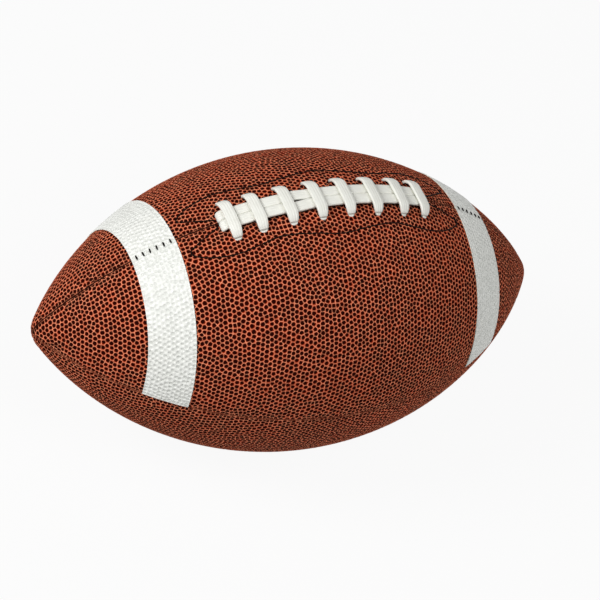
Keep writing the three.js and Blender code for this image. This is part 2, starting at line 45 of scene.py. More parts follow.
NOSE_RADIUS = 0.0124
TIP_HOLE_RADIUS = 0.001
REST_FLAT_DEPTH = 0.00055
PANEL_THICKNESS = 0.0022
SEAM_GAP = 0.00008
SEAM_ROLL = 0.0009
TIP_ROLL_SHARE = 0.4
PANEL_STATIONS = 470
PANEL_COLUMNS = 170
ROLL_COLUMNS = 5
INSIDE_COLUMNS = 14
PIT_SPACING = 0.00245
PIT_ROW_SHARE = math.sqrt(3) / 2
PIT_ROW_BEND = 0.004
PIT_ROW_BEND_REACH = 0.05
PIT_STRAY = 0.0008
PIT_SEAM_MARGIN = 0.0003
PIT_SURFACE_REACH = 0.001
PIT_SETTLING_STEPS = 6
PIT_SIZE_SPREAD = 0.1
PIT_NOTES = ("first_pit", "second_pit", "third_pit", "fourth_pit")
NO_PIT = (9.0, 9.0, 9.0)
FARTHEST_PIT = 1.0
PIT_DEPTH = 0.0003
PIT_FLOOR_RADIUS = 0.0004
PIT_RIM_RADIUS = 0.00125
PRESSED_ABOVE = -0.0004
COVER_SEED = 1
STITCHED_LINE_DEPTH = 0.0004
STITCHED_LINE_HALF_WIDTH = 0.0011
LINE_STEP = 0.0008
BAR_STATIONS = [-0.051, -0.0383, -0.023, -0.0076, 0.0076, 0.023, 0.0383, 0.051]
LACE_HOLE_OFFSET = 0.0118
REAR_HOLE_LEAN = 0.0015
LACE_HOLE_HALF_SIZE = (0.0019, 0.0016)
LACE_HOLE_SHIFT = 0.0005
SLOT_STATION = 0.0562
SLOT_HALF_SIZE = (0.00115, 0.006)
LACING_HALF_WIDTH = 0.006
VALVE_TURN = math.radians(-135)
VALVE_HOLE_RADIUS = 0.0037
PUNCH_DEPTH = 0.008
PUNCH_SIDES = 24
FLOOR_LIMIT = (-1.0, -1.0, 0.0)
QUARTER = math.pi / 2

half_diameter = BALL_DIAMETER / 2
axis_height = half_diameter - REST_FLAT_DEPTH
nose_centre = BALL_LENGTH / 2 - NOSE_RADIUS
flank_radius = (nose_centre**2 + half_diameter**2 - NOSE_RADIUS**2) / (2 * (half_diameter - NOSE_RADIUS))
nose_slope = math.asin(nose_centre / (flank_radius - NOSE_RADIUS))
flank_arc = flank_radius * nose_slope
tip_arc = flank_arc + NOSE_RADIUS * (math.acos(TIP_HOLE_RADIUS / NOSE_RADIUS) - nose_slope)
pit_rows = 2 * int(tip_arc / (PIT_SPACING * PIT_ROW_SHARE)) + 1
pit_columns = int(QUARTER * half_diameter / PIT_SPACING) + 3


def arc_at(station):
    """Length along the cover from the middle of the ball to a station on its axis."""
    return flank_radius * math.asin(station / flank_radius)


def slope_at(arc):
    """Slope of the cover at a length along it."""
    on_flank = min(abs(arc), flank_arc)
    return on_flank / flank_radius + (abs(arc) - on_flank) / NOSE_RADIUS


def ring_radius(arc):
    """Radius of the ball's ring at a length along the cover."""
    if abs(arc) <= flank_arc:
        return flank_radius * math.cos(slope_at(arc)) - flank_radius + half_diameter
    return NOSE_RADIUS * math.cos(slope_at(arc))


def turn_beside(arc, distance, height):
    """Turn away from a seam that gives a distance from the seam's plane."""
    return math.asin(distance / (ring_radius(arc) + height * math.cos(slope_at(arc))))


def new_piece(name, corners, edges=(), faces=()):
    """Piece with a mesh of its own, put in the scene."""
    mesh = bpy.data.meshes.new(name)
    mesh.from_pydata(corners, edges, faces)
    piece = bpy.data.objects.new(name, mesh)
    bpy.context.scene.collection.objects.link(piece)
    return piece


def faces_of_rows(rows, count, ring=False, mirrored=False):
    """Faces between rows of closed loops of corners, with a cap at each end where the rows are no ring."""
    faces = []
    for row in range(rows if ring else rows - 1):
        this_row = row * count
        next_row = (row + 1) % rows * count
        for place in range(count):
            beside = (place + 1) % count
            face = (this_row + place, next_row + place, next_row + beside, this_row + beside)
            faces.append((face[0], *face[:0:-1]) if mirrored else face)
    if not ring:
        first = tuple(range(count))
        last = tuple(range((rows - 1) * count, rows * count))
        faces += [first[::-1], last] if mirrored else [first, last[::-1]]
    return faces


def section_between_seams(arc, under, gap, roll, top, columns):
    """Loop of turns and heights from seam to seam: up a rolled edge, over the top, down and back below."""
    roll = min(roll, TIP_ROLL_SHARE * ring_radius(arc))
    lip = list(under)
    for step in range(ROLL_COLUMNS, 0, -1):
        bend = QUARTER * step / ROLL_COLUMNS
        lip.append((gap / 2 + roll * (1 - math.sin(bend)), top - roll * (1 - math.cos(bend))))
    edge = [(turn_beside(arc, distance, height), height) for distance, height in lip]
    begin = turn_beside(arc, gap / 2 + roll, top)
    across = np.linspace(begin, QUARTER - begin, columns)
    below = np.linspace(QUARTER - edge[0][0], edge[0][0], INSIDE_COLUMNS)[1:-1]
    loop = edge + [(turn, top) for turn in across]
    loop += [(QUARTER - turn, height) for turn, height in reversed(edge)]
    return loop + [(turn, under[0][1]) for turn in below]


def blank_of(name, arcs, first_turn, section):
    """Closed flat blank: its section at each arc, joined in rows and capped at both ends."""
    loops = [section_between_seams(arc, **section) for arc in arcs]
    corners = [
        (arc, (first_turn + turn) * ring_radius(arc), height)
        for arc, loop in zip(arcs, loops)
        for turn, height in loop
    ]
    return new_piece(name, corners, faces=faces_of_rows(len(arcs), len(loops[0]), mirrored=True))


def node(tree, kind, inputs=(), out=0, **settings):
    """Adds a node with its settings, feeds its inputs in order or by name, and gives back one output."""
    made = tree.nodes.new(kind)
    for setting, value in settings.items():
        setattr(made, setting, value)
    fed = inputs.items() if isinstance(inputs, dict) else enumerate(inputs)
    for place, value in fed:
        if isinstance(value, bpy.types.NodeSocket):
            tree.links.new(value, made.inputs[place])
        elif value is not None:
            made.inputs[place].default_value = value
    return made.outputs[out]


def new_tree(name, inputs, outputs=(("Geometry", "Geometry"),)):
    """Geometry tree with named inputs, each given as its kind and its usual value."""
    tree = bpy.data.node_groups.new(name, "GeometryNodeTree")
    for label, (kind, value) in inputs.items():
        socket = tree.interface.new_socket(label, in_out="INPUT", socket_type="NodeSocket" + kind)
        if value is not None:
            socket.default_value = value
    for label, kind in outputs:
        tree.interface.new_socket(label, in_out="OUTPUT", socket_type="NodeSocket" + kind)
    return tree, tree.nodes.new("NodeGroupInput").outputs, tree.nodes.new("NodeGroupOutput").inputs


def shape_with(piece, tree, **values):
    """Runs a tree on a piece with its named inputs set, and keeps the result as a plain mesh."""
    modifier = piece.modifiers.new(tree.name, "NODES")
    modifier.node_group = tree
    for socket in tree.interface.items_tree:
        label = socket.name.replace(" ", "_").lower()
        if socket.in_out == "INPUT" and label in values:
            modifier[socket.identifier] = values[label]
    keep_shape(piece)
    piece.modifiers.remove(modifier)


def keep_shape(piece):
    """Replaces a piece's mesh by what its modifiers make of it."""
    plain = bpy.data.meshes.new_from_object(piece.evaluated_get(bpy.context.evaluated_depsgraph_get()))
    first = piece.data
    piece.data = plain
    bpy.data.meshes.remove(first)


def wrap_tree():
    """Group that takes a place on the flat blank to its place on the ball."""
    sizes = {
        "Flat place": ("Vector", None),
        "Flank radius": ("Float", flank_radius),
        "Flank arc": ("Float", flank_arc),
        "Nose radius": ("Float", NOSE_RADIUS),
        "Nose centre": ("Float", nose_centre),
        "Half diameter": ("Float", half_diameter),
        "Axis height": ("Float", axis_height),
    }
    tree, given, result = new_tree("wrap_on_ball", sizes, [("Place", "Vector"), ("Ring", "Float")])
    flat = node(tree, "ShaderNodeSeparateXYZ", [given["Flat place"]]).node.outputs
    side = node(tree, "ShaderNodeMath", [flat["X"]], operation="SIGN")
    arc = node(tree, "ShaderNodeMath", [flat["X"]], operation="ABSOLUTE")
    on_flank = node(tree, "ShaderNodeMath", [arc, given["Flank arc"]], operation="MINIMUM")
    on_nose = node(tree, "ShaderNodeMath", [arc, on_flank], operation="SUBTRACT")
    flank_turn = node(tree, "ShaderNodeMath", [on_flank, given["Flank radius"]], operation="DIVIDE")
    nose_turn = node(tree, "ShaderNodeMath", [on_nose, given["Nose radius"]], operation="DIVIDE")
    slope = node(tree, "ShaderNodeMath", [flank_turn, nose_turn], operation="ADD")
    rise = node(tree, "ShaderNodeMath", [slope], operation="SINE")
    fall = node(tree, "ShaderNodeMath", [slope], operation="COSINE")
    past_flank = node(tree, "ShaderNodeMath", [arc, given["Flank arc"]], operation="GREATER_THAN")
    sunk = node(tree, "ShaderNodeMath", [given["Half diameter"], given["Flank radius"]], operation="SUBTRACT")
    radius = node(tree, "ShaderNodeMix", {0: past_flank, 2: given["Flank radius"], 3: given["Nose radius"]})
    centre_out = node(tree, "ShaderNodeMix", {0: past_flank, 2: sunk, 3: 0.0})
    centre_along = node(tree, "ShaderNodeMath", [past_flank, given["Nose centre"]], operation="MULTIPLY")
    ring = node(tree, "ShaderNodeMath", [radius, fall, centre_out], operation="MULTIPLY_ADD")
    turn = node(tree, "ShaderNodeMath", [flat["Y"], ring], operation="DIVIDE")
    lifted = node(tree, "ShaderNodeMath", [radius, flat["Z"]], operation="ADD")
    along = node(tree, "ShaderNodeMath", [lifted, rise, centre_along], operation="MULTIPLY_ADD")
    reach = node(tree, "ShaderNodeMath", [lifted, fall, centre_out], operation="MULTIPLY_ADD")
    sideways = node(tree, "ShaderNodeMath", [turn], operation="SINE")
    upright = node(tree, "ShaderNodeMath", [turn], operation="COSINE")
    x = node(tree, "ShaderNodeMath", [along, side], operation="MULTIPLY")
    forward = node(tree, "ShaderNodeMath", [reach, sideways], operation="MULTIPLY")
    y = node(tree, "ShaderNodeMath", [forward, -1.0], operation="MULTIPLY")
    z = node(tree, "ShaderNodeMath", [reach, upright, given["Axis height"]], operation="MULTIPLY_ADD")
    tree.links.new(node(tree, "ShaderNodeCombineXYZ", [x, y, z]), result["Place"])
    tree.links.new(ring, result["Ring"])
    return tree


wrap_on_ball = wrap_tree()


def pit_rows_on_ball(tree, given, surface):
    """Points in the rows of a honeycomb, bent and strayed a little, laid on the ball where the piece is."""
    row_gap = node(tree, "ShaderNodeMath", [given["Pit spacing"], PIT_ROW_SHARE], operation="MULTIPLY")
    length = node(tree, "ShaderNodeMath", [row_gap, pit_rows - 1.0], operation="MULTIPLY")
    width = node(tree, "ShaderNodeMath", [given["Pit spacing"], pit_columns - 1.0], operation="MULTIPLY")
    grid = node(tree, "GeometryNodeMeshGrid", [length, width, pit_rows, pit_columns])
    place = node(tree, "GeometryNodeInputPosition")
    flat = node(tree, "ShaderNodeSeparateXYZ", [place]).node.outputs
    row = node(tree, "ShaderNodeMath", [flat["X"], row_gap], operation="DIVIDE")
    whole = node(tree, "ShaderNodeMath", [row], operation="ROUND")
    odd = node(tree, "ShaderNodeMath", [whole, 2.0], operation="FLOORED_MODULO")
    half = node(tree, "ShaderNodeMath", [given["Pit spacing"], 0.5], operation="MULTIPLY")
    beside = node(tree, "ShaderNodeMath", [odd, half], operation="MULTIPLY")
    drift = node(
        tree,
        "ShaderNodeTexNoise",
        {"Vector": place, "W": given["Seed"], "Scale": 1 / PIT_ROW_BEND_REACH, "Detail": 0.0},
        out="Color",
        noise_dimensions="4D",
    )
    around_none = node(tree, "ShaderNodeVectorMath", [drift, (0.5, 0.5, 0.5)], operation="SUBTRACT")
    staggered = node(tree, "ShaderNodeCombineXYZ", [0.0, beside, 0.0])
    bent = node(
        tree,
        "ShaderNodeVectorMath",
        [around_none, (PIT_ROW_BEND, PIT_ROW_BEND, 0.0), staggered],
        operation="MULTIPLY_ADD",
    )
    stray = node(
        tree,
        "FunctionNodeRandomValue",
        [(-PIT_STRAY, -PIT_STRAY, 0.0), (PIT_STRAY, PIT_STRAY, 0.0)],
        data_type="FLOAT_VECTOR",
    )
    tree.links.new(given["Seed"], stray.node.inputs["Seed"])
    offset = node(tree, "ShaderNodeVectorMath", [bent, stray], operation="ADD")
    rows = node(tree, "GeometryNodeSetPosition", {"Geometry": grid, "Offset": offset})

    lift = node(tree, "ShaderNodeCombineXYZ", [0.0, 0.0, given["Top height"]])
    on_top = node(tree, "ShaderNodeVectorMath", [place, lift], operation="ADD")
    wrapped = node(tree, "GeometryNodeGroup", {"Flat place": on_top}, node_tree=wrap_on_ball).node.outputs
    reach = node(
        tree, "ShaderNodeMath", [wrapped["Ring"], QUARTER / 2, PIT_SEAM_MARGIN], operation="MULTIPLY_ADD"
    )
    aside = node(tree, "ShaderNodeMath", [flat["Y"]], operation="ABSOLUTE")
    inside = node(tree, "ShaderNodeMath", [aside, reach], operation="LESS_THAN")
    panel_rows = node(tree, "GeometryNodeSeparateGeometry", [rows, inside])
    turned = node(
        tree,
        "ShaderNodeVectorRotate",
        {"Vector": wrapped["Place"], "Center": (0.0, 0.0, axis_height), "Angle": given["Middle turn"]},
        rotation_type="X_AXIS",
    )
    laid = node(tree, "GeometryNodeSetPosition", {"Geometry": panel_rows, "Position": turned})
    away = node(tree, "GeometryNodeProximity", {"Geometry": surface}, out="Distance", target_element="FACES")
    near = node(tree, "ShaderNodeMath", [away, PIT_SURFACE_REACH], operation="LESS_THAN")
    return node(tree, "GeometryNodeSeparateGeometry", [laid, near])


def settled_pits(tree, given, surface, outside):
    """Points of the pits, each moved step by step to the middle of the surface that is nearest to it."""
    start = tree.nodes.new("GeometryNodeRepeatInput")
    end = tree.nodes.new("GeometryNodeRepeatOutput")
    start.pair_with_output(end)
    tree.links.new(given["Settling steps"], start.inputs["Iterations"])
    tree.links.new(pit_rows_on_ball(tree, given, surface), start.inputs["Geometry"])
    pits = start.outputs["Geometry"]
    place = node(tree, "GeometryNodeInputPosition")
    nearest_pit = node(tree, "GeometryNodeSampleNearest", [pits, place], domain="POINT")
    shared = node(
        tree,
        "GeometryNodeStoreNamedAttribute",
        {"Geometry": surface, "Name": "pit_here", "Value": nearest_pit},
        data_type="INT",
        domain="FACE",
    )
    pit_here = node(tree, "GeometryNodeInputNamedAttribute", ["pit_here"], data_type="INT")
    face_area = node(tree, "GeometryNodeInputMeshFaceArea")
    area = node(tree, "ShaderNodeMath", [face_area, outside], operation="MULTIPLY")
    moment = node(tree, "ShaderNodeVectorMath", {0: place, "Scale": area}, operation="SCALE")
    moments = node(
        tree,
        "GeometryNodeAccumulateField",
        [moment, pit_here],
        out="Total",
        data_type="FLOAT_VECTOR",
        domain="FACE",
    )
    areas = node(
        tree, "GeometryNodeAccumulateField", [area, pit_here], out="Total", data_type="FLOAT", domain="FACE"
    )
    per_area = node(tree, "ShaderNodeMath", [1.0, areas], operation="DIVIDE")
    middle = node(tree, "ShaderNodeVectorMath", {0: moments, "Scale": per_area}, operation="SCALE")
    nearest_face = node(tree, "GeometryNodeSampleNearest", [shared, place], domain="FACE")
    goal = node(
        tree,
        "GeometryNodeSampleIndex",
        [shared, middle, nearest_face],
        data_type="FLOAT_VECTOR",
        domain="FACE",
    )
    moved = node(tree, "GeometryNodeSetPosition", {"Geometry": pits, "Position": goal})
    tree.links.new(moved, end.inputs["Geometry"])
    return end.outputs["Geometry"]


def note_pits(tree, given, surface, pits):
    """Notes on each face the places of up to four pits around it, for the finish to draw them sharply."""
    place = node(tree, "GeometryNodeInputPosition")
    normal = node(tree, "GeometryNodeInputNormal")
    reach = node(tree, "ShaderNodeMath", [given["Pit spacing"], 0.5], operation="MULTIPLY")
    next_angles = (0.0, math.pi / 3, -math.pi / 3, None)
    looked_from = place
    found = []
    noted = surface
    for name, next_angle in zip(PIT_NOTES, next_angles):
        index = node(tree, "GeometryNodeSampleNearest", [pits, looked_from], domain="POINT")
        spot = node(
            tree, "GeometryNodeSampleIndex", [pits, place, index], data_type="FLOAT_VECTOR", domain="POINT"
        )
        if not found:
            aside = node(tree, "ShaderNodeVectorMath", [place, spot], operation="SUBTRACT")
            outward = node(tree, "ShaderNodeVectorMath", [aside], operation="NORMALIZE")
        for other in found:
            same = node(tree, "FunctionNodeCompare", {2: index, 3: other}, data_type="INT", operation="EQUAL")
            spot = node(tree, "GeometryNodeSwitch", [same, spot, NO_PIT], input_type="VECTOR")
        found.append(index)
        noted = node(
            tree,
            "GeometryNodeStoreNamedAttribute",
            {"Geometry": noted, "Name": name, "Value": spot},
            data_type="FLOAT_VECTOR",
            domain="FACE",
        )
        if next_angle is not None:
            turned = node(
                tree,
                "ShaderNodeVectorRotate",
                {"Vector": outward, "Axis": normal, "Angle": next_angle},
                rotation_type="AXIS_ANGLE",
            )
            step = node(tree, "ShaderNodeVectorMath", {0: turned, "Scale": reach}, operation="SCALE")
            looked_from = node(tree, "ShaderNodeVectorMath", [place, step], operation="ADD")
    return noted


def smooth_curve(tree, line):
    """Curve through a line of points, with even steps."""
    curve = node(tree, "GeometryNodeMeshToCurve", [line])
    bent = node(tree, "GeometryNodeCurveSplineType", [curve], spline_type="CATMULL_ROM")
    return node(tree, "GeometryNodeResampleCurve", {"Curve": bent, "Length": LINE_STEP}, mode="LENGTH")


def cover_tree():
    """Tree that wraps a flat blank on the ball, presses pits into its outside and sinks a stitched line."""
    inputs = {
        "Geometry": ("Geometry", None),
        "Pit spacing": ("Float", PIT_SPACING),
        "Pit depth": ("Float", PIT_DEPTH),
        "Pit floor radius": ("Float", PIT_FLOOR_RADIUS),
        "Pit rim radius": ("Float", PIT_RIM_RADIUS),
        "Top height": ("Float", 0.0),
        "Pressed above": ("Float", PRESSED_ABOVE),
        "Middle turn": ("Float", 0.0),
        "Settling steps": ("Int", PIT_SETTLING_STEPS),
        "Seed": ("Int", COVER_SEED),
        "Stitched line": ("Object", None),
        "Line depth": ("Float", STITCHED_LINE_DEPTH),
        "Line half width": ("Float", STITCHED_LINE_HALF_WIDTH),
        "Finish": ("Material", None),
    }
    tree, given, result = new_tree("wrap_and_emboss", inputs)
    flat_place = node(tree, "GeometryNodeInputPosition")
    drawn = node(
        tree,
        "GeometryNodeStoreNamedAttribute",
        {"Geometry": given["Geometry"], "Name": "flat", "Value": flat_place},
        data_type="FLOAT_VECTOR",
    )
    wrapped = node(tree, "GeometryNodeGroup", {"Flat place": flat_place}, node_tree=wrap_on_ball)
    on_floor = node(tree, "ShaderNodeVectorMath", [wrapped, FLOOR_LIMIT], operation="MAXIMUM")
    surface = node(tree, "GeometryNodeSetPosition", {"Geometry": drawn, "Position": on_floor})

    flat = node(tree, "GeometryNodeInputNamedAttribute", ["flat"], data_type="FLOAT_VECTOR")
    height = node(tree, "ShaderNodeSeparateXYZ", [flat], out="Z")
    outside = node(tree, "ShaderNodeMath", [height, given["Pressed above"]], operation="GREATER_THAN")
    pits = settled_pits(tree, given, surface, outside)
    to_pit = node(
        tree, "GeometryNodeProximity", {"Geometry": pits}, out="Distance", target_element="POINTS"
    )
    pit = node(
        tree,
        "ShaderNodeMapRange",
        [to_pit, given["Pit floor radius"], given["Pit rim radius"], 1.0, 0.0],
        interpolation_type="SMOOTHSTEP",
    )
    pressed_share = node(
        tree, "ShaderNodeMapRange", [height, given["Pressed above"], given["Top height"], 0.0, 1.0]
    )
    pit_here = node(tree, "ShaderNodeMath", [pit, pressed_share], operation="MULTIPLY")

    line = node(tree, "GeometryNodeObjectInfo", [given["Stitched line"]], out="Geometry")
    smooth_line = smooth_curve(tree, line)
    line_edges = node(tree, "GeometryNodeCurveToMesh", [smooth_line])
    on_sheet = node(tree, "ShaderNodeVectorMath", [flat, (1.0, 1.0, 0.0)], operation="MULTIPLY")
    beside = node(
        tree,
        "GeometryNodeProximity",
        {"Geometry": line_edges, "Sample Position": on_sheet},
        out="Distance",
        target_element="EDGES",
    )
    groove = node(
        tree,
        "ShaderNodeMapRange",
        [beside, 0.0, given["Line half width"], 1.0, 0.0],
        interpolation_type="SMOOTHSTEP",
    )
    sewn = node(tree, "ShaderNodeMath", [groove, beside.node.outputs["Is Valid"]], operation="MULTIPLY")
    sewn_here = node(tree, "ShaderNodeMath", [sewn, outside], operation="MULTIPLY")

    pressed = node(tree, "ShaderNodeMath", [pit_here, given["Pit depth"]], operation="MULTIPLY")
    sunk = node(tree, "ShaderNodeMath", [sewn_here, given["Line depth"], pressed], operation="MULTIPLY_ADD")
    inward = node(tree, "ShaderNodeMath", [sunk, -1.0], operation="MULTIPLY")
    normal = node(tree, "GeometryNodeInputNormal")
    offset = node(tree, "ShaderNodeVectorMath", {0: normal, "Scale": inward}, operation="SCALE")
    stitched = node(
        tree,
        "GeometryNodeStoreNamedAttribute",
        {"Geometry": surface, "Name": "sewn", "Value": sewn_here},
        data_type="FLOAT",
    )
    noted = note_pits(tree, given, stitched, pits)
    embossed = node(tree, "GeometryNodeSetPosition", {"Geometry": noted, "Offset": offset})
    smooth = node(tree, "GeometryNodeSetShadeSmooth", {"Geometry": embossed})
    finished = node(tree, "GeometryNodeSetMaterial", {"Geometry": smooth, "Material": given["Finish"]})
    tree.links.new(finished, result["Geometry"])
    return tree


wrap_and_emboss = cover_tree()


def punch_tree():
    """Tree that punches a hole through a flat blank at each of a set of points, in the size noted there."""
    inputs = {
        "Geometry": ("Geometry", None),
        "Hole places": ("Object", None),
        "Punch depth": ("Float", PUNCH_DEPTH),
    }
    tree, given, result = new_tree("punch_holes", inputs)
    places = node(tree, "GeometryNodeObjectInfo", [given["Hole places"]], out="Geometry")
    size = node(tree, "GeometryNodeInputNamedAttribute", ["half_size"], data_type="FLOAT_VECTOR")
    punch = node(
        tree,
        "GeometryNodeMeshCylinder",
        {"Vertices": PUNCH_SIDES, "Radius": 1.0, "Depth": given["Punch depth"]},
    )
    row = node(tree, "GeometryNodeInstanceOnPoints", {"Points": places, "Instance": punch, "Scale": size})
    punches = node(tree, "GeometryNodeRealizeInstances", [row])
    cut = node(
        tree,
        "GeometryNodeMeshBoolean",
        {"Mesh 1": given["Geometry"], "Mesh 2": punches},
        operation="DIFFERENCE",
        solver="MANIFOLD",
    )
    tree.links.new(cut, result["Geometry"])
    return tree


punch_holes = punch_tree()


def punched(panel, holes):
    """Punches holes through a flat blank, each given by its arc, its offset and its half size."""
    places = new_piece("hole_places", [(arc, offset, 0.0) for arc, offset, half_size in holes])
    noted = places.data.attributes.new("half_size", "FLOAT_VECTOR", "POINT")
    noted.data.foreach_set("vector", [part for hole in holes for part in (*hole[2], 1.0)])
    shape_with(panel, punch_holes, hole_places=places)
    bpy.data.objects.remove(places)


def linear(hex_colour):
    """An sRGB hex colour as the linear values that a shader reads."""
    shares = [int(hex_colour[place : place + 2], 16) / 255 for place in (1, 3, 5)]
    return [s / 12.92 if s <= 0.04045 else ((s + 0.055) / 1.055) ** 2.4 for s in shares] + [1.0]


def new_material(name):
    """Empty material, with its tree and its Principled shader's inputs."""
    material = bpy.data.materials.new(name)
    material.use_nodes = True
    tree = material.node_tree
    return material, tree, tree.nodes["Principled BSDF"].inputs


def pits_around(tree, place):
    """Distances to the nearest pit and to the next one, each weighed by the pit's own size."""
    nearest = FARTHEST_PIT
    next_one = FARTHEST_PIT
    for name in PIT_NOTES:
        pit = node(tree, "ShaderNodeAttribute", attribute_name=name, out="Vector")
        away = node(tree, "ShaderNodeVectorMath", [place, pit], out="Value", operation="DISTANCE")
        size = node(tree, "ShaderNodeTexWhiteNoise", [pit], out="Value")
        weight = node(tree, "ShaderNodeMapRange", [size, 0.0, 1.0, 1 - PIT_SIZE_SPREAD, 1 + PIT_SIZE_SPREAD])
        weighed = node(tree, "ShaderNodeMath", [away, weight], operation="MULTIPLY")
        farther = node(tree, "ShaderNodeMath", [nearest, weighed], operation="MAXIMUM")
        next_one = node(tree, "ShaderNodeMath", [next_one, farther], operation="MINIMUM")
        nearest = node(tree, "ShaderNodeMath", [nearest, weighed], operation="MINIMUM")
    return nearest, next_one


slot_arc = arc_at(SLOT_STATION)

# Colours of the leather, and the sizes in its finish from the widest shading to the finest grain
LEATHER_BROWN = "#9f2e12"
LEATHER_LIGHT_BROWN = "#b23a1a"
LEATHER_PIT = "#260200"
# The crest colour is a painted highlight for the crests between pits and the rolled seam lips
LEATHER_CREST_HIGHLIGHT = "#fa9d76"
# This near-black is painted shade for the seam creases, the stitched groove and the band beside the lacing
LEATHER_PAINTED_SHADE = "#120503"
LEATHER_CLOUD_SIZE = 0.03
LEATHER_PATCH_SIZE = 0.003
LEATHER_SPECK_SIZE = 0.0016
LEATHER_GRAIN_SIZE = 0.0004
NOISE_SPREAD = (0.35, 0.65)
PIT_EDGE_WANDER = 0.0003
PIT_EDGE = (0.00088, 0.0013)
CREST_EDGE = (0.00054, 0.00008)
CREST_HIGHLIGHT_SPREAD = (0.62, 1.0)
LIP_DROP = (-0.00002, -0.0001)
LIP_HIGHLIGHT_SPREAD = (0.0, 0.8)
CREASE_WANDER = 0.0008
CREASE_DROP = (0.0004, 0.00015)
HAND_SEWN_REACH = (0.003, 0.006)
CREASE_SHADE = (0.95, 0.72)
SEWN_EDGE = (0.55, 0.95)
SEWN_GROOVE_SHADE = 0.9
LACING_SHADE_FADE = 0.0018
LACING_SHADE_MARGIN = 0.0005
LACING_SHADOW = 0.85
LEATHER_ROUGHNESS = (0.85, 0.66)
LEATHER_GRAIN_RELIEF = 0.3


